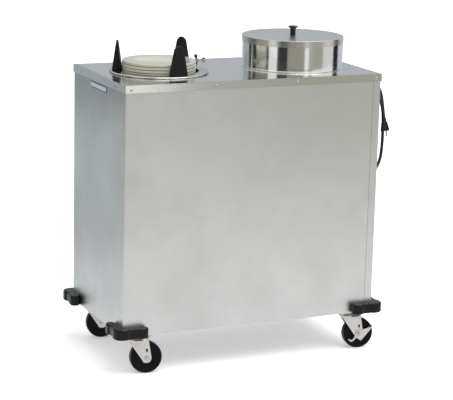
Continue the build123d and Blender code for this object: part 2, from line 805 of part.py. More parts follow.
def report_cord():
    """Print the cord's radii, lengths, volumes and the coil's least gap to itself."""
    section = RegularPolygon(cord_radius, cord_sides).area
    coil, tail = coil_path(), tail_path()
    print("tail radii", [round(radius) for radius in route_radii(tail_points)])
    for name, length in (("cord_coil", coil.length), ("cord_tail", tail.length),
                         ("cord_lead", lead_drop)):
        ratio = parts[name].volume / (section * length)
        print(name, "length", round(length, 1), "volume over section times length", round(ratio, 4))
    count = int(coil.length / 2)
    points = [coil @ (i / count) for i in range(count + 1)]
    apart = int(12 * cord_diameter / 2)
    gaps = [(p - q).length for i, p in enumerate(points) for q in points[i + apart:]]
    print("least gap of the coil to itself", round(min(gaps) - cord_diameter, 2))


os.makedirs("parts", exist_ok=True)
build()
report_cord()
for node, shape in parts.items():
    export_step(shape, f"parts/{node}.step")
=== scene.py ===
"""Looks of the heated plate dispenser cart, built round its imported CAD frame.

Sizes are in millimetres, as in the part's source, and a mesh is scaled to metres when it becomes
a piece. +Z is up, +X runs along the length to the lid, and -Y is the front.
"""

import logging
from dataclasses import dataclass
from enum import Enum
from math import atan2, cos, hypot, pi, radians, sin
from typing import Callable, Iterator, Optional, Sequence, Union

import bmesh
import bpy
from mathutils import Euler, Matrix, Vector

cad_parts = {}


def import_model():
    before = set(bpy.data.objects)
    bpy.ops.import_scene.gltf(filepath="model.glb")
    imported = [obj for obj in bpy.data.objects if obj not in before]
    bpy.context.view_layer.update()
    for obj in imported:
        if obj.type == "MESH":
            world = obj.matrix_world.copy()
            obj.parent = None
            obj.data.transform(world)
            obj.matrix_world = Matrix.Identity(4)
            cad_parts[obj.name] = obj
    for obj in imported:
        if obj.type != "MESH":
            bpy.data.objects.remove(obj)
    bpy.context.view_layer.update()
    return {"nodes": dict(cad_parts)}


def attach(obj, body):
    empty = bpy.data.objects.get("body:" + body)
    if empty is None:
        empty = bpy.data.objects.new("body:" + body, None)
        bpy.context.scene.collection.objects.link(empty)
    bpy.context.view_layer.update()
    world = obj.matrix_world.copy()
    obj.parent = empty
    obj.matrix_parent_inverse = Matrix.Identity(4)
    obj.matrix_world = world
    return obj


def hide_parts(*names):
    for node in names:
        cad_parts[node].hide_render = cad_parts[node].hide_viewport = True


LOG = logging.getLogger("dispenser_cart")
METRES = 0.001
Colour = tuple[float, float, float, float]
Rgb = tuple[int, int, int]
Point2 = tuple[float, float]
Point3 = tuple[float, float, float]
Range = tuple[float, float]
Corners = Sequence[int]
Where = Callable[[bmesh.types.BMEdge], bool]

WHITE: Colour = (1.0, 1.0, 1.0, 1.0)
WELL_CENTRES: dict[str, Point2] = {"left": (-0.234, 0.005), "right": (0.234, 0.005)}   # metres
CAP_TOP = 914.0
CONTROLS_Y = 204.0
TOGGLE_X, PILOT_X = -17.0, 7.0
PANEL_X, PANEL_Y = 437.0, 227.0      # outer faces of the wrap panels


def tone(rgb: Rgb, share: float = 1.0) -> Colour:
    """Turn a display colour into the linear one that a shader takes.

    Args:
        rgb: Red, green and blue, 0 to 255.
        share: How much of its light is kept.

    Returns:
        The linear colour with an alpha of 1.
    """
    def linear(value: float) -> float:
        """Undo the display curve for one channel."""
        part = value / 255
        return share * (part / 12.92 if part <= 0.04045 else ((part + 0.055) / 1.055) ** 2.4)

    red, green, blue = (linear(value) for value in rgb)
    return red, green, blue, 1.0


# ---------------------------------------------------------------- shader graphs
def operation(name: str, swapped: bool = False) -> Callable[["Sock", "Value"], "Sock"]:
    """An operator on sockets that adds one Math node.

    Args:
        name: The Math node's operation.
        swapped: Whether the other value comes first.

    Returns:
        The operator.
    """
    def apply(self: "Sock", other: "Value") -> "Sock":
        """Add the node and hand back its result."""
        left, right = (other, self) if swapped else (self, other)
        return self.graph.node("ShaderNodeMath", {"operation": name}, {0: left, 1: right})

    return apply


class Sock:
    """A node's output that takes part in sums: an expression on it adds Math nodes."""

    def __init__(self, graph: "Graph", socket: bpy.types.NodeSocket) -> None:
        """Keep the socket and the graph that new nodes go into."""
        self.graph, self.socket = graph, socket

    __add__, __radd__ = operation("ADD"), operation("ADD", swapped=True)
    __sub__, __rsub__ = operation("SUBTRACT"), operation("SUBTRACT", swapped=True)
    __mul__, __rmul__ = operation("MULTIPLY"), operation("MULTIPLY", swapped=True)
    __pow__ = operation("POWER")
    angle_from, larger = operation("ARCTAN2"), operation("MAXIMUM")

    def step(self, low: float, high: float) -> "Sock":
        """Rise smoothly from 0 at low to 1 at high."""
        return self.graph.node("ShaderNodeMapRange", {"interpolation_type": "SMOOTHSTEP"},
                               {0: self, 1: low, 2: high, 3: 0.0, 4: 1.0})


Value = Union[float, Sequence[float], Sock]


class Graph:
    """The node tree of a material or of the world."""

    def __init__(self, owner: Union[bpy.types.Material, bpy.types.World]) -> None:
        """Start with an empty tree."""
        self.owner = owner
        owner.use_nodes = True
        self.tree = owner.node_tree
        self.tree.nodes.clear()

    @classmethod
    def named(cls, name: str) -> "Graph":
        """The empty graph of a new material."""
        return cls(bpy.data.materials.new(name))

    def node(self, kind: str, settings: Optional[dict] = None,
             sockets: Optional[dict] = None, output: Union[int, str] = 0) -> Sock:
        """Add a node.

        Args:
            kind: The node's type.
            settings: Its properties, set first.
            sockets: Values or links of its inputs, by index or name.
            output: The output that is handed back.

        Returns:
            That output.
        """
        made = self.tree.nodes.new(kind)
        for key, value in (settings or {}).items():
            setattr(made, key, value)
        for key, value in (sockets or {}).items():
            if isinstance(value, Sock):
                self.tree.links.new(value.socket, made.inputs[key])
            else:
                made.inputs[key].default_value = value
        return Sock(self, made.outputs[output])

    def place(self, scale: Point3 = (1, 1, 1), shift: Point3 = (0, 0, 0)) -> Sock:
        """Object coordinates, scaled and then shifted by scaled metres."""
        coords = self.node("ShaderNodeTexCoord", output="Object")
        return self.node("ShaderNodeMapping", None,
                         {"Vector": coords, "Scale": scale, "Location": shift})

    def noise(self, scale: float, detail: float = 3.0, rough: float = 0.5,
              where: Optional[Sock] = None) -> Sock:
        """A noise pattern from 0 to 1.

        Args:
            scale: Lumps per metre.
            detail: Octaves.
            rough: Weight of the fine octaves.
            where: Coordinates, if not the object's own.

        Returns:
            The noise value.
        """
        return self.node("ShaderNodeTexNoise", None, {
            "Vector": where or self.place(), "Scale": scale, "Detail": detail,
            "Roughness": rough})

    def mix(self, share: Value, one: Value, other: Value) -> Sock:
        """Blend two colours: a share of 0 gives the first and 1 the other."""
        return self.node("ShaderNodeMix", {"data_type": "RGBA"},
                         {0: share, 6: one, 7: other}, output=2)

    def either(self, share: Value, one: Sock, other: Sock) -> Sock:
        """Blend two shaders: a share of 0 gives the first and 1 the other."""
        return self.node("ShaderNodeMixShader", None, {0: share, 1: one, 2: other})

    def glow(self, colour: Value) -> Sock:
        """A plain emission."""
        return self.node("ShaderNodeEmission", None, {"Color": colour})

    def matt(self, grey: float) -> Sock:
        """A plain diffuse surface."""
        return self.node("ShaderNodeBsdfDiffuse", None, {"Color": (grey, grey, grey, 1)})

    def ray(self, kind: str) -> Sock:
        """1 for rays of that kind, Camera, Glossy or Transmission."""
        return self.node("ShaderNodeLightPath", output=f"Is {kind} Ray")

    def axis(self, where: Sock, name: str) -> Sock:
        """One coordinate, X, Y or Z."""
        return self.node("ShaderNodeSeparateXYZ", None, {0: where}, output=name)

    def round_place(self, across: float, along: float, centre: Point2) -> Sock:
        """Coordinates that follow circles round an upright axis.

        Args:
            across: Scale of radius and height.
            along: Scale of the angle.
            centre: The axis in metres.

        Returns:
            (radius, angle, height), scaled.
        """
        where = self.place(shift=(-centre[0], -centre[1], 0))
        x, y, z = (self.axis(where, name) for name in "XYZ")
        radius = (x * x + y * y) ** 0.5
        return self.node("ShaderNodeCombineXYZ", None, {
            0: radius * across, 1: y.angle_from(x) * along, 2: z * across})

    def bump(self, height: Sock, depth: float) -> Sock:
        """A normal bumped by a height pattern of 0 to 1, that many metres deep."""
        return self.node("ShaderNodeBump", None,
                         {"Height": height, "Distance": depth, "Strength": 1.0})

    def close(self, surface: Sock) -> None:
        """Link a shader to the output."""
        kind = "World" if isinstance(self.owner, bpy.types.World) else "Material"
        made = self.tree.nodes.new(f"ShaderNodeOutput{kind}")
        self.tree.links.new(surface.socket, made.inputs["Surface"])

    def finish(self, **sockets: Value) -> bpy.types.Material:
        """Close the graph with a Principled shader.

        Args:
            sockets: Its inputs, with _ for a space in a name.

        Returns:
            The material.
        """
        self.close(self.node("ShaderNodeBsdfPrincipled", None, {
            key.replace("_", " "): value for key, value in sockets.items()}))
        return self.owner


# ---------------------------------------------------------------- finishes
class Grain(Enum):
    """Which way a sheet was brushed, as the scale of its coordinates."""

    ALONG_X = (3.0, 900.0, 900.0)
    ALONG_Z = (900.0, 900.0, 3.0)
    ALL_WAYS = (160.0, 160.0, 160.0)


@dataclass(frozen=True)
class BrushedSteel:
    """Stainless sheet with a brushed grain, faint cloudiness and handling marks."""

    name: str
    colour: Rgb
    roughness: float
    grain: Grain = Grain.ALONG_X
    well: Optional[str] = None           # set for a grain that runs round that well
    cloud: float = 0.10
    scratch: float = 0.00004
    round_across: float = 900.0
    round_along: float = 1.5

    def make(self) -> bpy.types.Material:
        """Build the material."""
        graph = Graph.named(self.name)
        if self.well:
            where = graph.round_place(self.round_across, self.round_along, WELL_CENTRES[self.well])
        else:
            where = graph.place(self.grain.value)
        fine = graph.noise(1.0, 4.0, 0.6, where)
        cloud = graph.noise(7.0, 4.0, 0.55)
        rubbed = graph.noise(55.0, 3.0, 0.6).step(0.62, 0.8)
        shade = cloud.step(0.3, 0.75) * self.cloud * 6 + fine * 0.12
        rough = self.roughness + (fine - 0.5) * 0.16 + (cloud - 0.5) * self.cloud + rubbed * 0.05
        return graph.finish(Base_Color=graph.mix(shade, tone(self.colour), tone(self.colour, 0.86)),
                            Metallic=1.0, Roughness=rough, Normal=graph.bump(fine, self.scratch))


@dataclass(frozen=True)
class Galvanised:
    """Zinc-coated sheet with its spangle."""

    name: str
    colour: Rgb = (150, 153, 156)
    roughness: float = 0.42
    spangle: float = 95.0

    def make(self) -> bpy.types.Material:
        """Build the material."""
        graph = Graph.named(self.name)
        cells = graph.node("ShaderNodeTexVoronoi", {"feature": "F1"},
                           {"Vector": graph.place(), "Scale": self.spangle}, output="Color")
        shade = graph.node("ShaderNodeRGBToBW", None, {0: cells})
        cloud = graph.noise(12.0)
        return graph.finish(Base_Color=graph.mix(shade, tone(self.colour), tone(self.colour, 0.62)),
                            Metallic=0.9, Normal=graph.bump(shade, 0.00003),
                            Roughness=self.roughness + (shade - 0.5) * 0.2 + (cloud - 0.5) * 0.1)


@dataclass(frozen=True)
class Plated:
    """Pressed steel with a plating that is warm in places and dull at its marks."""

    name: str
    colour: Rgb = (218, 215, 210)
    warm: Rgb = (208, 198, 182)
    metal: float = 0.75
    roughness: float = 0.36

    def make(self) -> bpy.types.Material:
        """Build the material."""
        graph = Graph.named(self.name)
        cloud = graph.noise(38.0, 4.0, 0.6)
        fine = graph.noise(700.0, 2.0)
        colour = graph.mix(cloud.step(0.45, 0.75) * 0.6, tone(self.colour), tone(self.warm))
        return graph.finish(Base_Color=colour, Metallic=self.metal,
                            Roughness=self.roughness + (cloud - 0.5) * 0.25 + (fine - 0.5) * 0.1,
                            Normal=graph.bump(fine, 0.00004))


@dataclass(frozen=True)
class Moulded:
    """Moulded plastic or rubber: a fine skin, a clouded sheen and paler scuffs."""

    name: str
    colour: Rgb = (12, 12, 14)
    scuff: Rgb = (30, 30, 33)
    roughness: float = 0.4
    skin: float = 0.00005
    lumps: float = 900.0
    coat: float = 0.0
    gloss: float = 0.25

    def make(self) -> bpy.types.Material:
        """Build the material."""
        graph = Graph.named(self.name)
        fine = graph.noise(self.lumps, 2.0)
        worn = graph.noise(26.0, 4.0, 0.6).step(0.52, 0.85)
        return graph.finish(Base_Color=graph.mix(worn * 0.7, tone(self.colour), tone(self.scuff)),
                            Roughness=self.roughness + worn * 0.18 + (fine - 0.5) * 0.1,
                            Specular_IOR_Level=self.gloss, Coat_Weight=self.coat,
                            Coat_Roughness=0.12, Normal=graph.bump(fine, self.skin))


@dataclass(frozen=True)
class Glazed:
    """Glazed stoneware: an ivory body under a clear coat with soft speckle."""

    name: str
    colour: Rgb = (211, 210, 197)
    shade: Rgb = (202, 198, 177)
    roughness: float = 0.16

    def make(self) -> bpy.types.Material:
        """Build the material."""
        graph = Graph.named(self.name)
        cloud = graph.noise(22.0)
        speck = graph.noise(420.0, 2.0).step(0.68, 0.8)
        colour = graph.mix(cloud * 0.7 + speck * 0.2, tone(self.colour), tone(self.shade))
        return graph.finish(Base_Color=colour, Roughness=self.roughness + cloud * 0.12,
                            Coat_Weight=0.5, Coat_Roughness=0.08,
                            Normal=graph.bump(graph.noise(60.0, 2.0), 0.00012))


@dataclass(frozen=True)
class Jacket:
    """The mains lead's jacket, with a clouded sheen and a fine skin."""

    name: str
    colour: Rgb = (15, 15, 17)
    worn: Rgb = (34, 34, 37)
    roughness: float = 0.42

    def make(self) -> bpy.types.Material:
        """Build the material."""
        graph = Graph.named(self.name)
        cloud = graph.noise(60.0, 4.0, 0.6)
        colour = graph.mix(cloud.step(0.5, 0.8), tone(self.colour), tone(self.worn))
        return graph.finish(Base_Color=colour, Roughness=self.roughness + (cloud - 0.5) * 0.3,
                            Specular_IOR_Level=0.35,
                            Normal=graph.bump(graph.noise(1400.0, 2.0), 0.00004))


@dataclass(frozen=True)
class Lens:
    """The pilot lamp's tinted lens."""

    name: str
    colour: Rgb = (150, 34, 26)
    bright: Rgb = (186, 60, 44)

    def make(self) -> bpy.types.Material:
        """Build the material."""
        graph = Graph.named(self.name)
        ribs = graph.noise(900.0, 2.0)
        return graph.finish(Base_Color=graph.mix(ribs, tone(self.colour), tone(self.bright)),
                            Roughness=0.12 + ribs * 0.1, Coat_Weight=0.6, Coat_Roughness=0.05,
                            Transmission_Weight=0.25, Normal=graph.bump(ribs, 0.0001))


RECIPES = {
    "stainless_cap": BrushedSteel("cap_steel", (230, 230, 228), 0.15, cloud=0.05),
    "stainless_cap.ring_left": BrushedSteel("left_ring_steel", (200, 200, 198), 0.12,
                                            well="left"),
    "stainless_cap.ring_right": BrushedSteel("right_ring_steel", (200, 200, 198), 0.12,
                                             well="right"),
    "stainless_cap.screw": BrushedSteel("screw_steel", (176, 186, 194), 0.2, Grain.ALL_WAYS),
    "stainless_panel": BrushedSteel("panel_steel", (222, 222, 221), 0.36, Grain.ALONG_Z),
    "stainless_lid": BrushedSteel("lid_band_steel", (230, 230, 228), 0.12, well="right",
                                  cloud=0.04),
    "stainless_lid.top": BrushedSteel("lid_pan_steel", (216, 216, 214), 0.27, cloud=0.06),
    "galvanised": Galvanised("galvanised_sheet"),
    "carriage_steel": Plated("carriage_plating", (178, 180, 182), (150, 146, 138), 0.9, 0.38),
    "spring_steel": Plated("spring_wire", (150, 152, 156), (120, 112, 98), 0.95, 0.3),
    "heater_sheath": Plated("heater_sheath", (132, 124, 112), (104, 84, 62), 0.8, 0.5),
    "black_guide": Moulded("guide_plastic", (14, 14, 17), (32, 32, 37), 0.42),
    "glazed_plate": Glazed("plate_glaze"),
    "black_bumper": Moulded("bumper_rubber", (7, 8, 12), (19, 21, 28), 0.12, 0.00008, 300.0,
                            0.2, 0.14),
    "zinc": Plated("caster_plating"),
    "zinc.nut": Plated("nut_plating", (194, 203, 213), (150, 158, 168), 0.85, 0.28),
    "wheel_rubber": Moulded("wheel_rubber", (10, 11, 16), (25, 27, 35), 0.36, 0.00006, 700.0,
                            0.0, 0.12),
    "black_tip": Moulded("lever_tip", roughness=0.28, coat=0.2),
    "bezel_chrome": Plated("bezel_plating", (150, 152, 156), (132, 134, 138), 1.0, 0.1),
    "red_lens": Lens("pilot_lens"),
    "cord_jacket": Jacket("cord_jacket"),
    "cord_jacket.plug": Moulded("plug_moulding", (14, 14, 16), roughness=0.36, lumps=1500.0),
    "blade_brass": Plated("blade_brass", (214, 178, 104), (176, 134, 70), 1.0, 0.24),
    "lid_top_and_knob": Moulded("knob_plastic", roughness=0.24, coat=0.25),
    ".badge_face": Moulded("badge_enamel", (206, 214, 222), (176, 186, 196), 0.3),
    ".badge_edge": Moulded("badge_border", (64, 104, 148), (96, 132, 168), 0.35),
}
DRESSED = {
    "stainless_panel": ("front_wrap_panel", "rear_wrap_panel"),
    "galvanised": ("base_pan", "corner_posts", "caster_backing_plates", "spring_columns",
                   "junction_box"),
    "heater_sheath": ("well_heaters",),
    "carriage_steel": ("left_carriage", "right_carriage"),
}


class Finishes:
    """Every finish on the cart, made once. A key's part before a dot is taken as a piece's slot
    name.
    """

    def __init__(self) -> None:
        """Start with none made."""
        self.made: dict[str, bpy.types.Material] = {}

    def of(self, look: str) -> bpy.types.Material:
        """The material of that name, built on first use."""
        if look not in self.made:
            self.made[look] = RECIPES[look].make()
        return self.made[look]

    def dress(self, nodes: dict) -> None:
        """Give the CAD nodes that stay a procedural finish.

        Args:
            nodes: The loaded nodes by name.
        """
        for look, names in DRESSED.items():
            for name in names:
                materials = nodes[name].data.materials
                materials.clear()
                materials.append(self.of(look))
                LOG.info("node %s in %s", name, look)


# ---------------------------------------------------------------- shapes
def turned(degrees: float, axis: str = "Z") -> Matrix:
    """A rotation about one axis."""
    return Matrix.Rotation(radians(degrees), 4, axis)


def shifted(x: float = 0.0, y: float = 0.0, z: float = 0.0) -> Matrix:
    """A shift."""
    return Matrix.Translation((x, y, z))


def over_well(side: str, z: float = 0.0) -> Matrix:
    """A shift to the middle of a well."""
    x, y = WELL_CENTRES[side]
    return shifted(1000 * x, 1000 * y, z)


def above(height: float) -> Where:
    """A test for edges that lie above a height."""
    return lambda edge: min(vert.co.z for vert in edge.verts) > height


def corners(result: dict) -> list[bmesh.types.BMVert]:
    """The corners among what an operator made."""
    return [made for made in result["geom"] if isinstance(made, bmesh.types.BMVert)]


def linked(name: str, data: bpy.types.ID) -> bpy.types.Object:
    """A new object in the scene, at the origin."""
    made = bpy.data.objects.new(name, data)
    bpy.context.scene.collection.objects.link(made)
    return made


HERE = Matrix.Identity(4)
MIRROR_X = Matrix.Scale(-1, 4, (1, 0, 0))
MIRROR_Y = Matrix.Scale(-1, 4, (0, 1, 0))
# A plan's own X, Y and thickness become these axes.
TO_XZY = Matrix(((1, 0, 0, 0), (0, 0, 1, 0), (0, 1, 0, 0), (0, 0, 0, 1)))
TO_YZX = Matrix(((0, 0, 1, 0), (1, 0, 0, 0), (0, 1, 0, 0), (0, 0, 0, 1)))
TO_XZ_BACK = Matrix(((1, 0, 0, 0), (0, 0, -1, 0), (0, 1, 0, 0), (0, 0, 0, 1)))


class Shape:
    """A mesh in the making, in millimetres, shaped by bmesh operators."""

    def __init__(self) -> None:
        """Start empty."""
        self.mesh = bmesh.new()

    def box(self, low: Point3, high: Point3) -> "Shape":
        """Add a block between its lowest and its highest corner."""
        made = bmesh.ops.create_cube(self.mesh, size=1.0)["verts"]
        bmesh.ops.scale(self.mesh, vec=Vector(high) - Vector(low), verts=made)
        bmesh.ops.translate(self.mesh, vec=(Vector(high) + Vector(low)) / 2, verts=made)
        return self

    def rod(self, radius: float, low: float, high: float, sides: int = 24) -> "Shape":
        """Add a capped upright bar.

        Args:
            radius: Its radius.
            low: Height of its foot.
            high: Height of its top.
            sides: Sides round it.

        Returns:
            This shape.
        """
        made = bmesh.ops.create_cone(self.mesh, cap_ends=True, cap_tris=False, segments=sides,
                                     radius1=radius, radius2=radius, depth=high - low)["verts"]
        bmesh.ops.translate(self.mesh, vec=(0, 0, (low + high) / 2), verts=made)
        return self

    def lathe(self, outline: Sequence[Point2], steps: int) -> "Shape":
        """Spin a closed (radius, height) outline round the Z axis.

        Args:
            outline: The section's corners.
            steps: Steps round.

        Returns:
            This shape.
        """
        points = [self.mesh.verts.new((r, 0, z)) for r, z in outline]
        edges = [self.mesh.edges.new(pair) for pair in zip(points, points[1:] + points[:1])
                 if pair[0].co.x > 1e-6 or pair[1].co.x > 1e-6]
        bmesh.ops.spin(self.mesh, geom=points + edges, cent=(0, 0, 0), axis=(0, 0, 1),
                       dvec=(0, 0, 0), angle=2 * pi, steps=steps, use_merge=True,
                       use_duplicate=False)
        bmesh.ops.remove_doubles(self.mesh, verts=self.mesh.verts, dist=1e-4)
        bmesh.ops.recalc_face_normals(self.mesh, faces=self.mesh.faces)
        return self

    def plan(self, points: Sequence[Point2], *rounding: tuple[float, Corners],
             segments: int = 6) -> "Shape":
        """Fill a flat outline at height 0.

        Args:
            points: Its corners.
            rounding: (radius, corner numbers) of the corners to round.
            segments: Segments of each rounding.

        Returns:
            This shape.
        """
        made = [self.mesh.verts.new((x, y, 0)) for x, y in points]
        self.mesh.faces.new(made)
        for radius, which in rounding:
            bmesh.ops.bevel(self.mesh, geom=[made[i] for i in which], offset=radius,
                            offset_type="OFFSET", affect="VERTICES", segments=segments,
                            profile=0.5, material=-1, clamp_overlap=False)
        bmesh.ops.recalc_face_normals(self.mesh, faces=self.mesh.faces)
        return self

    def oblong(self, x: float, y: float, radius: float) -> "Shape":
        """Fill a flat oblong of half sizes x and y with round corners."""
        return self.plan([(-x, -y), (x, -y), (x, y), (-x, y)], (radius, (0, 1, 2, 3)))

    def pierce(self, holes: Sequence[tuple[float, float, float, int]],
               stretch: float = 0.0) -> "Shape":
        """Cut round or oblong holes in the widest face, which is level.

        Args:
            holes: (x, y, radius, sides) of each hole.
            stretch: How much further than its radius a hole runs along Y, each way.

        Returns:
            This shape.
        """
        face = self.widest()
        height, rim = face.calc_center_median().z, list(face.edges)
        bmesh.ops.delete(self.mesh, geom=[face], context="FACES_ONLY")
        for x, y, radius, sides in holes:
            made = bmesh.ops.create_circle(self.mesh, cap_ends=False, segments=sides,
                                           radius=radius)["verts"]
            for vert in made:
                vert.co.y += stretch * (1 if vert.co.y > 0 else -1)
            bmesh.ops.translate(self.mesh, vec=(x, y, height), verts=made)
            rim += list({edge for vert in made for edge in vert.link_edges})
        bmesh.ops.triangle_fill(self.mesh, use_beauty=True, use_dissolve=False, edges=rim,
                                normal=(0, 0, 1))
        return self

    def widest(self) -> bmesh.types.BMFace:
        """The face with the largest area."""
        return max(self.mesh.faces, key=lambda face: face.calc_area())

    def grow(self) -> list[bmesh.types.BMVert]:
        """Extrude every face where it stands, and hand back the new corners."""
        return corners(bmesh.ops.extrude_face_region(self.mesh, geom=self.mesh.faces[:],
                                                     use_keep_orig=True))

    def thicken(self, height: float) -> "Shape":
        """Raise every flat face into a solid of that height."""
        bmesh.ops.translate(self.mesh, vec=(0, 0, height), verts=self.grow())
        bmesh.ops.recalc_face_normals(self.mesh, faces=self.mesh.faces)
        return self

    def soften(self, radius: float, where: Optional[Where] = None, segments: int = 3,
               angle: float = 28.0) -> "Shape":
        """Round the edges that turn by more than an angle.

        Args:
            radius: How far the rounding reaches.
            where: Which of those edges to take.
            segments: Segments of the rounding.
            angle: The least turn in degrees.

        Returns:
            This shape.
        """
        chosen = [edge for edge in self.mesh.edges
                  if len(edge.link_faces) == 2 and edge.calc_face_angle(0.0) > radians(angle)
                  and (where is None or where(edge))]
        bmesh.ops.bevel(self.mesh, geom=chosen, offset=radius, offset_type="OFFSET",
                        affect="EDGES", segments=segments, profile=0.5, material=-1,
                        clamp_overlap=True)
        return self

    def add(self, other: "Shape", matrix: Matrix) -> "Shape":
        """Take in a copy of another shape.

        Args:
            other: The other shape.
            matrix: Its place.

        Returns:
            This shape.
        """
        loose = bpy.data.meshes.new("loose")
        other.mesh.to_mesh(loose)
        loose.transform(matrix)
        if matrix.determinant() < 0:
            loose.flip_normals()
        self.mesh.from_mesh(loose)
        bpy.data.meshes.remove(loose)
        return self

    def join(self, other: "Shape", *places: Matrix) -> "Shape":
        """Take in another shape for good, and free it.

        Args:
            other: The other shape.
            places: Its places, or none for where it stands.

        Returns:
            This shape.
        """
        for place in places or (HERE,):
            self.add(other, place)
        other.mesh.free()
        return self

    def move(self, matrix: Matrix) -> "Shape":
        """Place the whole shape by a matrix."""
        bmesh.ops.transform(self.mesh, matrix=matrix, verts=self.mesh.verts)
        if matrix.determinant() < 0:
            bmesh.ops.reverse_faces(self.mesh, faces=self.mesh.faces)
        return self

    def at(self, x: float = 0.0, y: float = 0.0, z: float = 0.0) -> "Shape":
        """Shift the whole shape."""
        return self.move(shifted(x, y, z))


def settle(made: bpy.types.Object, body: str, slot: str,
           replaces: Sequence[str] = ()) -> bpy.types.Object:
    """Attach a finished object to its body and hide the nodes that it stands for.

    Args:
        made: The object.
        body: The CAD body it moves with.
        slot: Not used.
        replaces: CAD nodes that it stands for.

    Returns:
        The same object.
    """
    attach(made, body)
    if replaces:
        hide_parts(*replaces)
    LOG.info("piece %s on %s", made.name, body)
    return made


@dataclass
class Part:
    """A visible piece: its shape, its look, the body it rides and the nodes it stands for.

    An open sheet is given a wall inwards, and edges that turn by more than the crease stay sharp.
    """

    name: str
    shape: Shape
    look: str
    replaces: Sequence[str] = ()
    body: str = "cabinet"
    crease: float = 32.0
    wall: float = 0.0
    slot: Optional[str] = None           # where it isn't the look's own

    def make(self, finishes: Finishes) -> bpy.types.Object:
        """Turn the part into an object.

        Args:
            finishes: All finishes.

        Returns:
            The new object.
        """
        mesh, data = self.shape.mesh, bpy.data.meshes.new(self.name)
        bmesh.ops.scale(mesh, vec=(METRES,) * 3, verts=mesh.verts)
        mesh.to_mesh(data)
        mesh.free()
        data.polygons.foreach_set("use_smooth", [True] * len(data.polygons))
        data.set_sharp_from_angle(angle=radians(self.crease))
        data.materials.append(finishes.of(self.look))
        made = linked(self.name, data)
        if self.wall:
            sheet = made.modifiers.new("sheet", "SOLIDIFY")
            sheet.thickness, sheet.offset = self.wall * METRES, -1.0
        flats = made.modifiers.new("flats", "WEIGHTED_NORMAL")
        flats.mode, flats.weight, flats.keep_sharp = "FACE_AREA", 100, True
        slot = self.look.split(".")[0] if self.slot is None else self.slot
        return settle(made, self.body, slot, self.replaces)


class Assembly:
    """A sub-assembly of the cart, which lists its parts."""

    def parts(self) -> Iterator[Part]:
        """Its parts, in order."""
        raise NotImplementedError

    def build(self, finishes: Finishes) -> list[bpy.types.Object]:
        """Make every part.

        Args:
            finishes: All finishes.

        Returns:
            The new objects.
        """
        return [part.make(finishes) for part in self.parts()]


# ---------------------------------------------------------------- the cart
@dataclass
class Cabinet(Assembly):
    """The cap, its screws and the badge plate."""

    length: float = 880.0
    depth: float = 460.0
    flange: float = 24.0
    sheet: float = 1.5
    corner: float = 2.5
    edge: float = 2.2
    border: float = 6.0
    well_hole: float = 127.0
    control_hole: float = 6.2
    screw_z: float = 899.5
    front_screws: tuple[float, ...] = (-419.0, -139.5, 139.5, 419.0)
    side_screws: tuple[float, ...] = (-150.0, 150.0)
    badge_y: Range = (-70.0, 70.0)
    badge_z: Range = (866.0, 885.0)
    badge_border: float = 3.0

    def cap(self) -> Shape:
        """The cap: a pierced sheet with a rounded edge and a flange turned down."""
        shape = Shape().oblong(self.length / 2, self.depth / 2, self.corner)
        mesh = shape.mesh
        skirt = bmesh.ops.extrude_edge_only(mesh, edges=mesh.edges[:])
        bmesh.ops.translate(mesh, vec=(0, 0, -self.flange), verts=corners(skirt))
        bmesh.ops.inset_region(mesh, faces=[shape.widest()], thickness=self.border,
                               use_even_offset=True)
        bmesh.ops.recalc_face_normals(mesh, faces=mesh.faces)
        shape.soften(self.edge, lambda edge: all(abs(v.co.z) < 1e-3 for v in edge.verts), 4, 60.0)
        if shape.widest().normal.z < 0:
            bmesh.ops.reverse_faces(mesh, faces=mesh.faces)
        holes = [(1000 * x, 1000 * y, self.well_hole, 96) for x, y in WELL_CENTRES.values()]
        holes += [(x, CONTROLS_Y, self.control_hole, 24) for x in (TOGGLE_X, PILOT_X)]
        return shape.pierce(holes).at(z=CAP_TOP)

    def screws(self) -> Shape:
        """The domed screw heads round the cap's flange, each with a small recess."""
        head = Shape().lathe([(0, 0), (4.6, 0), (4.6, 0.5), (3.9, 1.5), (2.6, 2.1), (1.3, 2.3),
                              (1.2, 1.2), (0, 1.2)], 24)
        x, y, z = self.length / 2, self.depth / 2, self.screw_z
        places = [shifted(along, -side * y, z) @ turned(90 * side, "X")
                  for along in self.front_screws for side in (1, -1)]
        places += [shifted(side * x, along, z) @ turned(90 * side, "Y")
                   for along in self.side_screws for side in (-1, 1)]
        return Shape().join(head, *places)

    def badge(self, inset: float, proud: float) -> Shape:
        """A bare plate on the left panel, inside the badge's outline and proud of the panel."""
        (y0, y1), (z0, z1) = self.badge_y, self.badge_z
        return Shape().box((-PANEL_X - proud, y0 + inset, z0 + inset),
                           (-PANEL_X, y1 - inset, z1 - inset)).soften(0.4, segments=2)

    def parts(self) -> Iterator[Part]:
        """The cap's sheet, its screws, and the badge's border and face."""
        yield Part("cap_sheet", self.cap(), "stainless_cap", ["top_cap"], wall=self.sheet)
        yield Part("cap_screws", self.screws(), "stainless_cap.screw")
        yield Part("badge_border", self.badge(0.0, 1.0), ".badge_edge")
        yield Part("badge_plate", self.badge(self.badge_border, 1.4), ".badge_face")


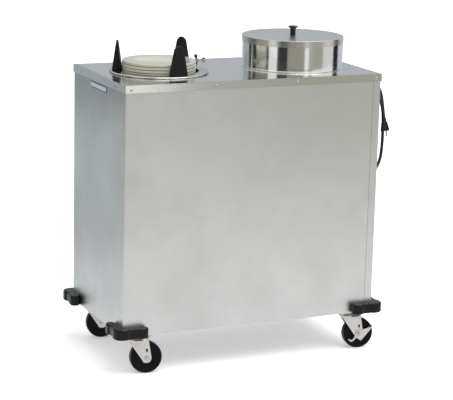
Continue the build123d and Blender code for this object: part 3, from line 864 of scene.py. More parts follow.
@dataclass
class Well(Assembly):
    """One dispenser well: its ring, three guides and three springs."""

    side: str
    opening: float = 125.0
    ring: float = 158.0
    ring_top: float = 920.0
    collar: float = 126.5
    collar_bottom: float = 900.7
    guide_inner: float = 117.0
    guide_height: float = 92.0
    guide_base: float = 52.0
    guide_crown: float = 15.0
    guide_thick: float = 30.0
    guide_tip: float = 6.0
    guide_lean: float = 12.0
    guide_angles: tuple[float, ...] = (155.0, -85.0, 35.0)
    spring_turn: float = 60.0            # from a guide to the next spring
    spring_orbit: float = 145.0
    spring_radius: float = 6.0
    spring_wire: float = 1.1
    spring_low: float = 717.4
    spring_high: float = 886.5
    spring_pitch: float = 3.4
    spring_steps: int = 14               # steps in each turn
    spring_end: float = 8.0

    def ring_shape(self) -> Shape:
        """The ring with its rolled outer edge and the collar in the opening."""
        out, top = self.ring, self.ring_top
        shape = Shape().lathe([
            (self.opening, self.collar_bottom), (self.collar, self.collar_bottom),
            (self.collar, CAP_TOP), (out - 3.0, CAP_TOP), (out - 0.9, CAP_TOP + 0.9),
            (out, CAP_TOP + 2.6), (out - 0.8, top - 1.7), (out - 3.0, top - 0.4),
            (out - 6.5, top), (self.opening + 1.5, top), (self.opening, top - 1.5)], 144)
        return shape.soften(0.9, above(CAP_TOP + 0.5), 3, 12.0).move(over_well(self.side))

    def guide(self) -> Shape:
        """One guide along +X: a tapering wedge with a round crown and its tongue."""
        half, crown, top = self.guide_base / 2, self.guide_crown, self.guide_height
        shape = Shape().plan([(-half, 0), (half, 0), (crown, top), (-crown, top)],
                             (crown - 0.4, (2, 3)), segments=8).move(TO_YZX)
        grown = shape.grow()
        for vert in shape.mesh.verts:
            vert.co.x = self.guide_lean * vert.co.z / top
        for vert in grown:
            vert.co.x += self.guide_thick + (self.guide_tip - self.guide_thick) * vert.co.z / top
        bmesh.ops.recalc_face_normals(shape.mesh, faces=shape.mesh.faces)
        shape.soften(2.4, segments=4)
        shape.join(Shape().box((0.5, -15.0, -14.0), (6.0, 15.0, 2.0)).soften(1.0))
        return shape.at(self.guide_inner, 0, self.ring_top)

    def spring(self) -> Shape:
        """One extension spring: a wound wire between its tab and the carriage's arm."""
        shape, wire, low = Shape(), self.spring_wire, self.spring_low
        mesh = shape.mesh
        turns = (self.spring_high - low - 2 * self.spring_end) / self.spring_pitch
        steps = int(turns * self.spring_steps)
        section = bmesh.ops.create_circle(mesh, cap_ends=True, segments=5, radius=wire)["verts"]
        bmesh.ops.rotate(mesh, cent=(0, 0, 0), matrix=turned(90, "X").to_3x3(), verts=section)
        bmesh.ops.translate(mesh, vec=(self.spring_radius - wire, 0, 0), verts=section)
        bmesh.ops.spin(mesh, geom=mesh.faces[:] + mesh.edges[:] + mesh.verts[:], cent=(0, 0, 0),
                       axis=(0, 0, 1), dvec=(0, 0, turns * self.spring_pitch / steps),
                       angle=2 * pi * turns, steps=steps, use_merge=False, use_duplicate=False)
        shape.at(z=low + self.spring_end)
        for foot in (low, self.spring_high - self.spring_end - 1.0):
            shape.rod(wire, foot, foot + self.spring_end + 1.0, 8)
        bmesh.ops.recalc_face_normals(mesh, faces=mesh.faces)
        return shape

    def parts(self) -> Iterator[Part]:
        """The ring, guides and springs. The left ones stand for the nodes that both share."""
        shared = self.side == "left"
        yield Part(f"{self.side}_well_ring", self.ring_shape(), f"stainless_cap.ring_{self.side}",
                   ["well_rings"] if shared else ())
        guide = self.guide()
        for number, angle in enumerate(self.guide_angles, 1):
            yield Part(f"{self.side}_guide_{number}",
                       Shape().add(guide, over_well(self.side) @ turned(angle)), "black_guide",
                       ["plate_guides"] if shared and number == 1 else ())
        guide.mesh.free()
        places = [over_well(self.side) @ turned(angle + self.spring_turn)
                  @ shifted(self.spring_orbit) for angle in self.guide_angles]
        yield Part(f"{self.side}_spring_set", Shape().join(self.spring(), *places),
                   "spring_steel", [f"{self.side}_springs"], crease=50.0)


@dataclass
class Plates(Assembly):
    """The stack of plates on the left carriage."""

    count: int = 4
    radius: float = 116.0
    foot: float = 66.0
    well: float = 74.0
    pitch: float = 10.0
    height: float = 22.0
    low: float = 900.4

    def plate(self) -> Shape:
        """One plate: a foot ring, a spreading wall, a broad rim with a rolled lip."""
        r, h = self.radius, self.height
        shape = Shape().lathe([
            (0, 2.5), (self.foot - 6, 2.5), (self.foot - 5, 0), (self.foot, 0),
            (self.foot + 1.5, 3.0), (r - 26, h - 9.8), (r - 5, h - 9.0), (r - 1.2, h - 8.6),
            (r, h - 7.8), (r, h - 1.8), (r - 0.9, h - 0.4), (r - 3, h), (r - 6, h - 0.8),
            (r - 27, h - 3.6), (self.well + 6, h - 8.6), (self.well - 4, h - 11.6),
            (0, h - 12.0)], 112)
        return shape.soften(0.9, segments=2, angle=16.0)

    def parts(self) -> Iterator[Part]:
        """The plates from the lowest up."""
        plate = self.plate()
        for number in range(self.count):
            place = over_well("left", self.low + number * self.pitch)
            yield Part(f"plate_{number + 1}", Shape().add(plate, place), "glazed_plate",
                       ["plate_stack"] if number == 0 else (), "plates", 40.0)
        plate.mesh.free()


@dataclass
class Lid(Assembly):
    """The lift-off lid: a band with a bead and a seam, a pan pressed over it, and a knob."""

    radius: float = 164.2
    low: float = CAP_TOP
    high: float = 1015.6
    sheet: float = 1.2
    skirt: float = 21.0
    seam: float = -92.5
    rivet: float = -111.0
    knob_neck: float = 8.0
    knob_head: float = 16.2
    knob_high: float = 30.0

    def band(self) -> Shape:
        """The band with its rolled bead at the bottom and the lap of its seam."""
        r, low, inner, top = self.radius, self.low, self.radius - self.sheet, self.high
        shape = Shape().lathe([
            (r - 1.6, low), (r, low), (r + 0.9, low + 1.2), (r + 0.9, low + 3.2), (r, low + 4.6),
            (r, top - self.sheet - 0.2), (inner, top - self.sheet - 0.2), (inner, low + 4.6)], 160)
        shape.soften(0.6, segments=2, angle=24.0)
        lap = Shape().box((r - 0.2, -5.0, low + 5.0), (r + 0.55, 5.0, top - self.skirt - 1))
        return shape.join(lap.soften(0.3, segments=2), turned(self.seam)).move(over_well("right"))

    def pan(self) -> Shape:
        """The pressed pan with its skirt and one rivet."""
        r, high = self.radius + 0.05, self.high
        shape = Shape().lathe([
            (0, high - self.sheet), (r, high - self.sheet), (r, high - self.skirt),
            (r + self.sheet, high - self.skirt), (r + self.sheet, high), (0, high)], 160)
        shape.soften(1.1, above(high - 0.1), 4)
        rivet = Shape().lathe([(0, 0), (2.6, 0), (2.4, 0.5), (1.2, 0.8), (0, 0.8)], 16)
        place = turned(self.rivet) @ shifted(r + self.sheet - 0.1, 0, high - 13.0)
        return shape.join(rivet, place @ turned(90, "Y")).move(over_well("right"))

    def knob(self) -> Shape:
        """The moulded knob: a waisted stem with a flared foot and a domed head."""
        neck, head, high = self.knob_neck, self.knob_head, self.knob_high
        shape = Shape().lathe([
            (0, 0), (neck + 1.4, 0), (neck + 1.2, 1.5), (neck + 0.6, high * 0.35),
            (neck + 1.4, high * 0.68), (neck + 3.6, high - 7.2), (head - 0.6, high - 5.6),
            (head, high - 4.2), (head - 0.3, high - 2.0), (head - 2.4, high - 0.6),
            (head - 6.0, high), (0, high)], 48)
        return shape.soften(0.9, angle=18.0).at(z=self.high).move(over_well("right"))

    def parts(self) -> Iterator[Part]:
        """The band, the pan and the knob."""
        yield Part("lid_wall", self.band(), "stainless_lid", ["lid_band"], "lid")
        yield Part("lid_pan", self.pan(), "stainless_lid.top", ["lid_top"], "lid")
        yield Part("lid_knob", self.knob(), "lid_top_and_knob", (), "lid", 60.0)


@dataclass
class Controls(Assembly):
    """The toggle switch and the pilot lamp at the cap's rear edge."""

    lean: float = 16.0
    length: float = 21.0
    pivot: float = 2.2
    sink: float = 1.7                    # of the lever's foot under the cap

    def bushing(self) -> Shape:
        """The switch's case under the cap, its threaded bushing and its nut."""
        shape = Shape().box((-14, -7.5, -27.5), (14, 7.5, -1.5)).soften(1.0)
        neck = Shape().lathe([(5.2, -2), (6.0, -1.5), (6.0, 4.6), (5.6, 5.0), (5.2, 5.0)], 32)
        nut = Shape().rod(7.0, 0.0, 1.8, 6).soften(0.4, segments=2)
        floor = Shape().rod(5.4, -2.4, -2.0)
        return shape.join(neck).join(nut).join(floor).at(TOGGLE_X, CONTROLS_Y, CAP_TOP)

    def lever(self) -> Shape:
        """The bat lever, leaning about its pivot."""
        high = self.length
        shape = Shape().lathe([
            (0, 0), (2.4, 0), (2.6, high * 0.2), (4.0, high * 0.42), (5.5, high * 0.72),
            (5.4, high * 0.9), (3.8, high), (0, high)], 32).soften(0.7, angle=15.0)
        foot = CAP_TOP - self.sink + self.pivot * sin(radians(self.lean))
        return shape.move(shifted(TOGGLE_X, CONTROLS_Y, foot) @ turned(-self.lean, "Y"))

    def bezel(self) -> Shape:
        """The pilot lamp's bezel and barrel."""
        shape = Shape().lathe([
            (0, -24), (6.0, -24), (6.0, 0), (7.5, 0), (7.5, 1.2), (6.6, 2.5), (5.2, 2.5),
            (4.9, 1.6), (0, 1.6)], 40)
        return shape.soften(0.35, segments=2, angle=20.0).at(PILOT_X, CONTROLS_Y, CAP_TOP)

    def lens(self) -> Shape:
        """The pilot lamp's domed lens."""
        shape = Shape().lathe([(0, 1.7), (5.0, 1.7), (5.2, 4.0), (4.7, 6.2), (3.2, 7.9),
                               (1.2, 8.6), (0, 8.6)], 32)
        return shape.soften(0.4, angle=12.0).at(PILOT_X, CONTROLS_Y, CAP_TOP)

    def parts(self) -> Iterator[Part]:
        """The switch's case and bat, and the lamp's bezel and lens."""
        yield Part("toggle_bushing", self.bushing(), "carriage_steel", ["toggle_switch_body"],
                   slot="switch_case")
        yield Part("toggle_bat", self.lever(), "black_tip", ["toggle_lever"], "toggle", 60.0)
        yield Part("pilot_bezel", self.bezel(), "bezel_chrome", ["pilot_lamp_bezel"])
        yield Part("pilot_dome", self.lens(), "red_lens", ["pilot_lamp_lens"], crease=60.0)


@dataclass
class Bumpers(Assembly):
    """The four lobed bumpers round the lower corners."""

    low: float = 127.0
    height: float = 33.0
    reach: float = 32.0
    lobe: float = 16.0
    arm: float = 62.0
    waist: float = 27.0
    corner: float = 27.0
    top_edge: float = 5.5
    foot_edge: float = 4.0

    @staticmethod
    def outside(z: float) -> Where:
        """A test for edges at that height that lie away from the panels.

        Args:
            z: The height.

        Returns:
            The test.
        """
        def test(edge: bmesh.types.BMEdge) -> bool:
            """Whether this edge may be rounded."""
            ends = [vert.co for vert in edge.verts]
            return (all(abs(end.z - z) < 0.01 for end in ends)
                    and not all(abs(end.x) < 0.01 for end in ends)
                    and not all(abs(end.y) < 0.01 for end in ends))

        return test

    def bumper(self) -> Shape:
        """The bumper of the right rear corner, with its inner corner on the origin."""
        end, out, waist = -self.arm - self.lobe, self.reach, self.waist
        side = [(end, 0), (end, out), (-self.arm + 14, out), (-self.arm + 22, waist),
                (-14, waist), (-6, out)]
        other = [(b, a) for a, b in reversed(side)]
        shape = Shape().plan([(0, 0)] + side + [(out, out)] + other,
                             (self.lobe - 0.4, (1, 2, 12, 13)), (self.corner, (7,)),
                             (4.2, (3, 4, 5, 6, 8, 9, 10, 11))).thicken(self.height)
        shape.soften(self.top_edge, self.outside(self.height), 6, 60.0)
        shape.soften(self.foot_edge, self.outside(0.0), 4, 60.0)
        bar = Shape().box((-self.arm - 3.0, 13.0, self.height - 1.6),
                          (-self.arm + 24.0, 17.0, self.height + 0.35)).soften(0.7, segments=2)
        return shape.join(bar, HERE, turned(-90) @ MIRROR_X)

    def parts(self) -> Iterator[Part]:
        """The bumpers."""
        bumper, place = self.bumper(), shifted(PANEL_X, PANEL_Y, self.low)
        for name, matrix in (("rear_right", place), ("rear_left", MIRROR_X @ place),
                             ("front_right", MIRROR_Y @ place),
                             ("front_left", MIRROR_X @ MIRROR_Y @ place)):
            yield Part(f"{name}_bumper", Shape().add(bumper, matrix), "black_bumper",
                       ["corner_bumpers"] if name == "rear_right" else (), crease=40.0)
        bumper.mesh.free()


@dataclass
class Caster(Assembly):
    """One swivel caster: its top plate, fork, wheel, axle bolt and, on two, the brake lever."""

    name: str
    place: Point2
    braked: bool = False
    turn: float = -9.0
    trail: float = 26.0
    wheel: float = 50.8
    half: float = 15.875
    plate_low: float = 124.0
    plate_size: Point2 = (92.0, 52.0)
    plate_sheet: float = 3.0
    bolt_inset: float = 9.0
    crown_low: float = 108.0
    crown_high: float = 119.7
    crown: float = 37.5
    gap: float = 18.0
    sheet: float = 2.5
    eye: float = 15.0
    slot_rise: float = 26.0
    axle: float = 4.75
    pedal: float = 14.0
    brake_gap: float = 0.3
    brake_room: float = 3.1

    def swivel(self) -> Matrix:
        """The swivel's place, turned the way it trails."""
        return shifted(*self.place) @ turned(self.turn)

    def near(self) -> float:
        """The outer washer's distance from the wheel's middle."""
        return self.gap + self.sheet + (self.brake_room if self.braked else 0.0)

    def top_plate(self) -> Shape:
        """The plate under the cabinet, its raceway and four bolts."""
        x, y = (size / 2 for size in self.plate_size)
        shape = Shape().oblong(x, y, 8.0).thicken(self.plate_sheet)
        shape.soften(0.6, segments=2, angle=60.0).at(z=self.plate_low)
        shape.join(Shape().lathe([(0, 119.9), (23.0, 119.9), (24.0, 121.0), (24.0, 122.4),
                                  (27.0, 124.0), (0, 124.0)], 64).soften(0.8, angle=25.0))
        x, y = x - self.bolt_inset, y - self.bolt_inset
        places = [shifted(a, b, self.plate_low) for a, b in ((-x, -y), (x, -y), (x, y), (-x, y))]
        shape.join(Shape().rod(6.2, -4.2, 0.0, 6).soften(0.5, segments=2), *places)
        return shape.at(*self.place)

    def leg(self) -> Shape:
        """One leg of the fork, flat in XZ with its inner face on y = 0 and its sheet to +Y."""
        foot = (self.crown ** 2 - (self.gap + self.sheet) ** 2) ** 0.5
        cx, cz, r, low, high = self.trail, self.wheel, self.eye, self.crown_low, self.crown_high
        left, right = (self.touch(side * foot, side) for side in (-1, 1))
        shape = Shape().plan([
            (-foot, high - 4), (-foot, low), left, (cx - r * 0.9, cz - r), (cx + r * 0.9, cz - r),
            right, (foot, low), (foot, high - 4)],
            (r * 0.78, (3, 4)), (9.0, (1, 6)), segments=8)
        shape.pierce([(cx, cz + self.slot_rise, 3.0, 20)], 3.0).thicken(self.sheet)
        return shape.soften(0.7, angle=50.0).move(TO_XZY)

    def touch(self, x: float, side: int) -> Point2:
        """Where the leg's edge meets its eye.

        Args:
            x: Where the edge leaves the crown.
            side: -1 for the left edge and 1 for the right.

        Returns:
            The point on the eye.
        """
        dx, dz = x - self.trail, self.crown_low - self.wheel
        lean = atan2(dz, dx) - side * (pi / 2 - self.eye / hypot(dx, dz))
        return self.trail + self.eye * cos(lean), self.wheel + self.eye * sin(lean)

    def fork(self) -> Shape:
        """The crown, its two legs, and the axle bolt with its washers and inner head."""
        low, high, r, leg_outer = self.crown_low, self.crown_high, self.crown, self.gap + self.sheet
        shape = Shape().lathe([
            (0, low + 3), (22, low + 3), (25, low), (r - 1.5, low), (r, low + 2), (r, high - 5),
            (r - 4, high - 2.2), (26, high - 2.2), (25, high), (0, high)], 72)
        shape.soften(1.2, angle=25.0)
        shape.join(self.leg(), shifted(y=self.gap), shifted(y=-self.gap) @ MIRROR_Y)
        for side, start in ((1, leg_outer), (-1, self.near())):
            washer = Shape().rod(9.6, 0.0, 1.2, 28).soften(0.4, segments=2)
            if side > 0:
                washer.join(Shape().rod(8.0, 1.0, 6.0, 6).soften(0.7, segments=2))
            shape.join(washer, shifted(self.trail, side * start, self.wheel)
                       @ turned(-90 * side, "X"))
        shape.join(Shape().rod(self.axle, -self.near(), leg_outer),
                   shifted(self.trail, 0, self.wheel) @ turned(-90, "X"))
        return shape.move(self.swivel())

    def nut(self) -> Shape:
        """The outer axle nut with the bolt's end in it."""
        shape = Shape().rod(6.8, 1.0, 6.0, 6).soften(0.7, segments=2)
        shape.join(Shape().rod(3.0, 2.0, 6.8, 16).soften(0.5, segments=2))
        return shape.move(self.outward(self.near()))

    def outward(self, reach: float) -> Matrix:
        """The place of a flat piece on the axle, that far out, facing out."""
        return self.swivel() @ shifted(self.trail, -reach, self.wheel) @ turned(90, "X")

    def brake(self) -> Shape:
        """The side brake: a sheet lever with its pedal bent out and a thin locking hook."""
        shape = Shape().plan([
            (-9.0, -12.0), (-15.5, -21.0), (-26.0, -27.0), (-37.5, -18.0), (-35.5, -15.5),
            (-25.5, -21.5), (-17.5, -15.0), (-13.0, -3.0), (-11.0, 8.0), (-4.0, 13.0),
            (8.0, 14.0), (27.0, 17.5), (34.0, 22.5), (42.0, 29.5), (47.5, 25.0), (41.0, 17.0),
            (38.0, 12.0), (15.0, -15.6), (8.0, -24.0), (1.0, -20.0)],
            (4.0, (0, 1, 5, 6, 7, 8)), (1.8, range(9, 19)), (1.0, (2, 3, 4)), segments=5)
        shape.pierce([(0.0, 0.0, self.axle + 0.05, 24)], 1.0).thicken(self.sheet)
        shape.soften(0.6, segments=2, angle=50.0)
        pedal = Shape().box((0.0, 0.0, 0.0), (12.0, self.sheet, self.pedal)).soften(0.8)
        shape.join(pedal, shifted(34.0, 20.0) @ turned(41.0))
        return shape.move(self.outward(self.gap + self.sheet + self.brake_gap))

    def wheel_shape(self) -> Shape:
        """The wheel: a crowned tread, ringed sides and a hub."""
        r, h = self.wheel, self.half
        rim = [(4.85, h - 0.2), (11.0, h - 0.2), (12.0, h - 2.6), (27.0, h - 3.4),
               (29.0, h - 1.6), (38.0, h - 1.2), (39.2, h - 2.2), (40.4, h - 1.0),
               (r - 4.0, h - 0.4), (r - 1.4, h - 2.4), (r, h - 6.5)]
        shape = Shape().lathe(rim + [(a, -b) for a, b in reversed(rim)], 96)
        shape.soften(0.8, segments=2, angle=18.0)
        return shape.move(self.swivel() @ shifted(self.trail, 0, self.wheel) @ turned(-90, "X"))

    def parts(self) -> Iterator[Part]:
        """The plate, the fork, the wheel, the outer nut and the brake."""
        name, swivel = self.name, f"{self.name}_swivel"
        yield Part(f"{name}_caster_plate", self.top_plate(), "zinc",
                   ["caster_top_plates"] if name == "front_left" else ())
        yield Part(f"{name}_caster_fork", self.fork(), "zinc", [f"{name}_fork"], swivel)
        yield Part(f"{name}_tyre", self.wheel_shape(), "wheel_rubber", [f"{name}_wheel"],
                   f"{name}_wheel")
        yield Part(f"{name}_axle_nut", self.nut(), "zinc.nut", (), swivel)
        if self.braked:
            yield Part(f"{name}_brake_plate", self.brake(), "zinc", [f"{name}_brake_lever"],
                       f"{name}_brake")


@dataclass
class MainsLead(Assembly):
    """The coiled mains lead on its hook, with its gland and its plug."""

    x: float = 455.0
    diameter: float = 10.0
    length: float = 1.64                 # metres
    step: float = 22.5
    exit_z: float = 682.0
    exit_y: float = -166.0
    drop_z: float = 660.0
    gland_z: float = 725.0
    hook_y: float = -106.4
    hook_seat: float = 864.1
    hook_half: float = 12.0
    hook_sheet: float = 3.0
    plug_back: Point2 = (9.0, 8.0)       # half sizes at the neck
    plug_face: Point2 = (13.5, 11.0)     # and at the face
    plug_length: float = 42.0
    blade_sheet: float = 1.5
    blade_apart: float = 12.7
    arcs: tuple[tuple[float, float, float, float, float], ...] = (
        (-101.0, 637.0, 65.0, 180.0, 270.0), (-101.0, 682.0, 110.0, -90.0, 0.0),
        (-106.4, 754.0, 115.4, 0.0, 180.0), (-101.0, 682.0, 120.8, 180.0, 360.0),
        (-106.4, 754.0, 126.2, 0.0, 90.0))
    tail: tuple[Point3, ...] = (
        (455.0, -106.4, 880.2), (455.0, -128.4, 880.2), (461.0, -150.0, 871.5),
        (468.5, -165.5, 855.0), (473.0, -173.5, 833.0), (475.0, -181.5, 796.0),
        (475.5, -190.0, 762.0))

    def route(self) -> list[Point3]:
        """The control points: the drop from the gland, the coil's turns, and the tail."""
        points = [(self.x, self.exit_y, self.exit_z), (self.x, self.exit_y, self.drop_z)]
        for y, z, radius, start, end in self.arcs:
            wide = radius / cos(radians(self.step / 2))
            for number in range(round((end - start) / self.step)):
                angle = radians(start + (number + 0.5) * self.step)
                points.append((self.x, y + wide * cos(angle), z + wide * sin(angle)))
        return points + list(self.tail)

    def cord(self, finish: bpy.types.Material) -> bpy.types.Object:
        """The cord as one NURBS spline.

        Args:
            finish: Its material.

        Returns:
            The curve object.
        """
        curve = bpy.data.curves.new("mains_cord", "CURVE")
        curve.dimensions = "3D"
        curve.bevel_depth = self.diameter / 2 * METRES
        curve.bevel_resolution, curve.resolution_u = 5, 6
        curve.use_fill_caps = True
        route = self.route()
        spline = curve.splines.new("NURBS")
        spline.points.add(len(route) - 1)
        for point, place in zip(spline.points, route):
            point.co = (*(METRES * c for c in place), 1.0)
        spline.order_u, spline.use_endpoint_u = 3, True
        curve.materials.append(finish)
        return linked("mains_cord", curve)

    def plug_frame(self) -> Matrix:
        """The plug's place: +Z runs out along the blades and +X stays level."""
        end, before = Vector(self.tail[-1]), Vector(self.tail[-2])
        way = (end - before).normalized()
        across = Vector((1, 0, 0)) - way * way.x
        across.normalize()
        turn = Matrix((across, way.cross(across), way)).transposed().to_4x4()
        return Matrix.Translation(end) @ turn

    def plug(self) -> Shape:
        """The moulded plug: a ribbed neck and a body that widens to its face."""
        shape = Shape().lathe([
            (0, -3.0), (5.4, -3.0), (6.2, -1.0), (7.6, 0.6), (7.6, 2.6), (6.6, 3.2), (6.6, 4.8),
            (7.8, 5.4), (7.8, 7.6), (6.8, 8.2), (6.8, 9.8), (8.0, 10.4), (8.0, 14.0),
            (0, 14.0)], 32).soften(0.4, segments=2, angle=20.0)
        (x, y), (wide, deep) = self.plug_back, self.plug_face
        body = Shape().box((-x, -y, 13.0), (x, y, self.plug_length))
        for vert in body.mesh.verts:
            if vert.co.z > 20:
                vert.co.x *= wide / x
                vert.co.y *= deep / y
        body.soften(5.5, lambda e: abs(e.verts[0].co.z - e.verts[1].co.z) > 5, 5, 50.0)
        return shape.join(body.soften(1.8, angle=50.0)).move(self.plug_frame())

    def blades(self) -> Shape:
        """Two flat blades with a hole in each, and the round ground pin."""
        blade = Shape().plan([(-3.15, 0), (3.15, 0), (3.15, 18.0), (-3.15, 18.0)],
                             (1.6, (2, 3)), segments=4).pierce([(0.0, 13.0, 1.4, 16)])
        blade.thicken(self.blade_sheet).soften(0.25, segments=2, angle=50.0)
        face, sheet = self.plug_length, self.blade_sheet
        places = [shifted(side * self.blade_apart / 2 - sheet / 2, -5.0, face) @ TO_YZX
                  for side in (-1, 1)]
        pin = Shape().lathe([(0, face), (2.4, face), (2.4, face + 15.8), (1.6, face + 18.0),
                             (0, face + 18.0)], 20)
        shape = Shape().join(blade, *places).join(pin.soften(0.5, angle=20.0), shifted(0, 6.9))
        return shape.move(self.plug_frame())

    def gland(self) -> Shape:
        """The elbow gland on the panel, its nut inside and its ribbed, tapered relief."""
        top = self.gland_z + 9.0
        outline = [(0, self.exit_z), (6.2, self.exit_z)]
        for number in range(4):
            z = self.exit_z + 3.0 + 6.4 * number
            r = 6.3 + 0.7 * number
            outline += [(r + 0.2, z), (r - 0.9, z + 0.6), (r - 0.8, z + 2.6), (r + 0.5, z + 3.2)]
        outline += [(9.0, self.exit_z + 28.0), (9.0, top - 3), (7.0, top), (0, top)]
        shape = Shape().lathe(outline, 36).soften(0.35, segments=2, angle=20.0)
        shape.at(self.x, self.exit_y)
        place = shifted(0, self.exit_y, self.gland_z) @ turned(90, "Y")
        for radius, x0, x1, sides in (
                (8.0, PANEL_X - 1.2, PANEL_X, 36), (13.0, PANEL_X - 6.2, PANEL_X - 1.2, 6),
                (14.0, PANEL_X, PANEL_X + 4.0, 36), (8.0, PANEL_X, self.x, 36)):
            bar = Shape().rod(radius, x0, x1, sides).soften(0.8, segments=2, angle=40.0)
            shape.join(bar, place)
        return shape

    def hook(self) -> Shape:
        """The bent hook that the coil hangs on, with its two rivets."""
        seat, sheet, back = self.hook_seat, self.hook_sheet, PANEL_X
        lip = self.x + self.diameter / 2 + 1.0
        shape = Shape().plan([
            (back, seat - 34.0), (back + sheet, seat - 34.0), (back + sheet, seat - sheet),
            (lip + sheet, seat - sheet), (lip + sheet, seat + 26.0), (lip, seat + 26.0),
            (lip, seat), (back, seat)], (5.0, (3,)), (2.0, (6,)), segments=4)
        shape.thicken(2 * self.hook_half).soften(0.6, segments=2, angle=50.0)
        shape.move(shifted(y=self.hook_y + self.hook_half) @ TO_XZ_BACK)
        rivet = Shape().lathe([(0, 0), (3.2, 0), (2.9, 0.9), (1.5, 1.5), (0, 1.5)], 20)
        places = [shifted(back + sheet, self.hook_y + y, seat - 22.0) @ turned(90, "Y")
                  for y in (-6.0, 6.0)]
        return shape.join(rivet, *places)

    def parts(self) -> Iterator[Part]:
        """The plug, its blades, the gland and the hook."""
        yield Part("plug_moulding", self.plug(), "cord_jacket.plug", ["plug_body"])
        yield Part("plug_pins", self.blades(), "blade_brass", ["plug_blades"])
        yield Part("strain_relief", self.gland(), "cord_jacket.plug", ["cord_gland"])
        yield Part("lead_hook", self.hook(), "stainless_cap", ["cord_hook"])

    def build(self, finishes: Finishes) -> list[bpy.types.Object]:
        """Args:
            finishes: All finishes.

        Returns:
            The new objects.
        """
        cord = settle(self.cord(finishes.of("cord_jacket")), "cabinet", "cord_jacket",
                      ["cord_lead", "cord_coil", "cord_tail"])
        plug, blades, gland, hook = super().build(finishes)
        return [cord, plug, blades, gland, hook]


# ---------------------------------------------------------------- studio
@dataclass(frozen=True)
class Card:
    """A soft card round the set, between two angles, that only polished metal sees."""

    name: str
    start: float
    end: float
    colour: Rgb
    low: float = 0.0
    high: float = 1.9
    foot: Optional[Rgb] = None           # a graded card has another colour at its foot
    radius: float = 2.6

    def sheet(self) -> bmesh.types.BMesh:
        """Its bent sheet, in metres."""
        mesh, start = bmesh.new(), radians(self.start)
        ends = [mesh.verts.new((self.radius * cos(start), self.radius * sin(start), z))
                for z in (self.low, self.high)]
        bmesh.ops.spin(mesh, geom=[*ends, mesh.edges.new(ends)], cent=(0, 0, 0), axis=(0, 0, 1),
                       dvec=(0, 0, 0), angle=radians(self.end - self.start), steps=12,
                       use_merge=False, use_duplicate=False)
        return mesh

    def light(self) -> Graph:
        """Its colour, graded from foot to head."""
        graph = Graph.named(f"card_{self.name}")
        rise = graph.axis(graph.place(), "Z").step(self.low, self.high)
        graph.close(graph.glow(graph.mix(rise, tone(self.foot or self.colour),
                                         tone(self.colour))))
        return graph


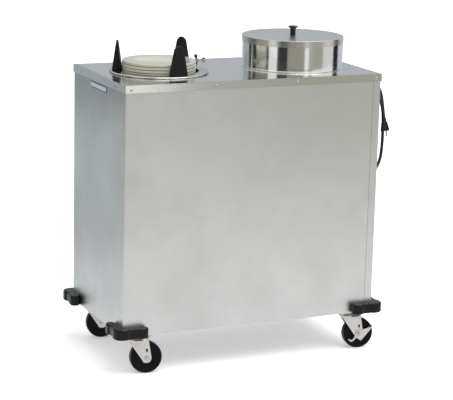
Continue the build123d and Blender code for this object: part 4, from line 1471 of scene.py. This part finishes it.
@dataclass
class Studio:
    """The camera, the floor, the world, one soft sun and the cards that metal reflects."""

    eye: Point3 = (-2299.27, -4990.73, 1740.67)
    yaw: float = 24.8237
    pitch: float = 12.8917
    roll: float = 1.4252
    lens: float = 137.46
    sensor: float = 36.0
    clip: Range = (0.1, 200.0)           # metres
    sky: float = 0.62
    sun: float = 1.35
    sun_angle: float = 50.0
    sun_tilt: tuple[float, float] = (18.0, 14.0)
    floor_size: float = 45.0
    paper: float = 0.8                   # the floor's grey under light
    shown: float = 1.2                   # its grey to the camera
    lift: Colour = (0.32, 0.315, 0.315, 1)
    mirrored_front: Colour = (0.98, 0.98, 0.99, 1)
    mirrored_back: Colour = (0.78, 0.82, 0.84, 1)
    mirrored_far: Colour = (0.74, 0.74, 0.72, 1)
    cards: tuple[Card, ...] = (
        Card("camera_left", -147.1, -122.8, (50, 52, 54)),
        Card("camera_right", -122.8, -83.7, (158, 157, 146)),
        Card("front_bright", -83.7, -75.0, (252, 252, 248)),
        Card("front_edge", -75.0, -65.4, (180, 181, 175)),
        Card("front", -65.4, -41.2, (172, 171, 160), 0.12, 1.1),
        Card("right", -11.9, 6.5, (38, 34, 32)),
        Card("right_rear", 7.0, 46.0, (206, 211, 222)),
        Card("left_rear", 92.0, 126.0, (168, 175, 180)),
        Card("left_low", 106.0, 152.0, (204, 212, 215), 0.0, 0.56, (188, 193, 196), 1.5),
        Card("left_edge", 126.0, 137.2, (60, 58, 54)),
        Card("left_inner", 139.4, 148.9, (76, 73, 68)),
        Card("left", 148.9, 187.5, (126, 125, 114)),
        Card("camera_edge", -171.5, -147.1, (254, 254, 252)),
        Card("backdrop", 46.0, 90.0, (184, 188, 193), 0.75, 3.2, radius=4.2))

    def camera(self) -> None:
        """Set the camera at the photograph's viewing angle."""
        yaw, pitch, roll = (radians(a) for a in (self.yaw, self.pitch, self.roll))
        forward = Vector((sin(yaw) * cos(pitch), cos(yaw) * cos(pitch), -sin(pitch)))
        level = Vector((cos(yaw), -sin(yaw), 0))
        over = level.cross(forward)
        right = cos(roll) * level + sin(roll) * over
        upward = -sin(roll) * level + cos(roll) * over
        data = bpy.data.cameras.new("camera")
        data.lens, data.sensor_width, data.sensor_fit = self.lens, self.sensor, "HORIZONTAL"
        data.clip_start, data.clip_end = self.clip
        made = linked("camera", data)
        turn = Matrix((right, upward, -forward)).transposed().to_4x4()
        made.matrix_world = Matrix.Translation(Vector(self.eye) * METRES) @ turn
        bpy.context.scene.camera = made

    def world(self) -> None:
        """Light the set evenly, and show white to the camera, to metal and to glass."""
        graph = Graph(bpy.data.worlds.new("studio"))
        seen = graph.ray("Camera").larger(graph.ray("Glossy")).larger(graph.ray("Transmission"))
        plain, white = (graph.node("ShaderNodeBackground", None,
                                   {"Color": WHITE, "Strength": strength})
                        for strength in (self.sky, 1.0))
        graph.close(graph.either(seen, plain, white))
        bpy.context.scene.world = graph.owner

    def lamps(self) -> None:
        """One wide sun from above, behind and to the right."""
        data = bpy.data.lights.new("sun", "SUN")
        data.energy, data.angle = self.sun, radians(self.sun_angle)
        linked("sun", data).rotation_euler = Euler((*map(radians, self.sun_tilt), 0))

    @staticmethod
    def stand(name: str, mesh: bmesh.types.BMesh, graph: Graph) -> bpy.types.Object:
        """Make one piece of the set.

        Args:
            name: Its name.
            mesh: Its mesh in metres, which is freed.
            graph: Its material's graph.

        Returns:
            The new object.
        """
        data = bpy.data.meshes.new(name)
        mesh.to_mesh(data)
        mesh.free()
        data.materials.append(graph.owner)
        return linked(name, data)

    def floor(self) -> None:
        """A pale floor that keeps the cart's shadow."""
        mesh = bmesh.new()
        bmesh.ops.create_grid(mesh, x_segments=1, y_segments=1, size=self.floor_size)
        graph = Graph.named("floor_paper")
        shown = graph.node("ShaderNodeAddShader", None,
                           {0: graph.matt(self.shown), 1: graph.glow(self.lift)})
        lit = graph.either(graph.ray("Camera"), graph.matt(self.paper), shown)
        where = graph.place()
        x, y = graph.axis(where, "X"), graph.axis(where, "Y")
        far = ((x * x + y * y) ** 0.5).step(1.0, 4.5)
        near = graph.mix(y.step(-0.1, 0.7), self.mirrored_front, self.mirrored_back)
        shine = graph.glow(graph.mix(far, near, self.mirrored_far))
        graph.close(graph.either(graph.ray("Glossy"), lit, shine))
        self.stand("floor", mesh, graph)

    def set_cards(self) -> None:
        """Stand the cards round the set, unseen by everything but reflections."""
        for card in self.cards:
            made = self.stand(f"card_{card.name}", card.sheet(), card.light())
            made.visible_camera = made.visible_diffuse = made.visible_shadow = False
            made.visible_transmission = made.visible_volume_scatter = False

    def build(self) -> None:
        """Set up the whole studio."""
        for step in (self.camera, self.world, self.lamps, self.floor, self.set_cards):
            step()
        bpy.context.scene.view_settings.view_transform = "Standard"


CASTERS = (Caster("front_left", (-376.0, -198.0)), Caster("front_right", (376.0, -198.0), True),
           Caster("rear_left", (-376.0, 198.0)), Caster("rear_right", (376.0, 198.0), True))


def main() -> None:
    """Build the looks round the frame."""
    logging.basicConfig(level=logging.INFO, format="%(name)s: %(message)s")
    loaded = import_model()
    finishes = Finishes()
    Studio().build()
    for assembly in (MainsLead(), Cabinet(), *map(Well, WELL_CENTRES), Plates(), Lid(),
                     Controls(), Bumpers(), *CASTERS):
        assembly.build(finishes)
    finishes.dress(loaded["nodes"])


if __name__ == "__main__":
    main()
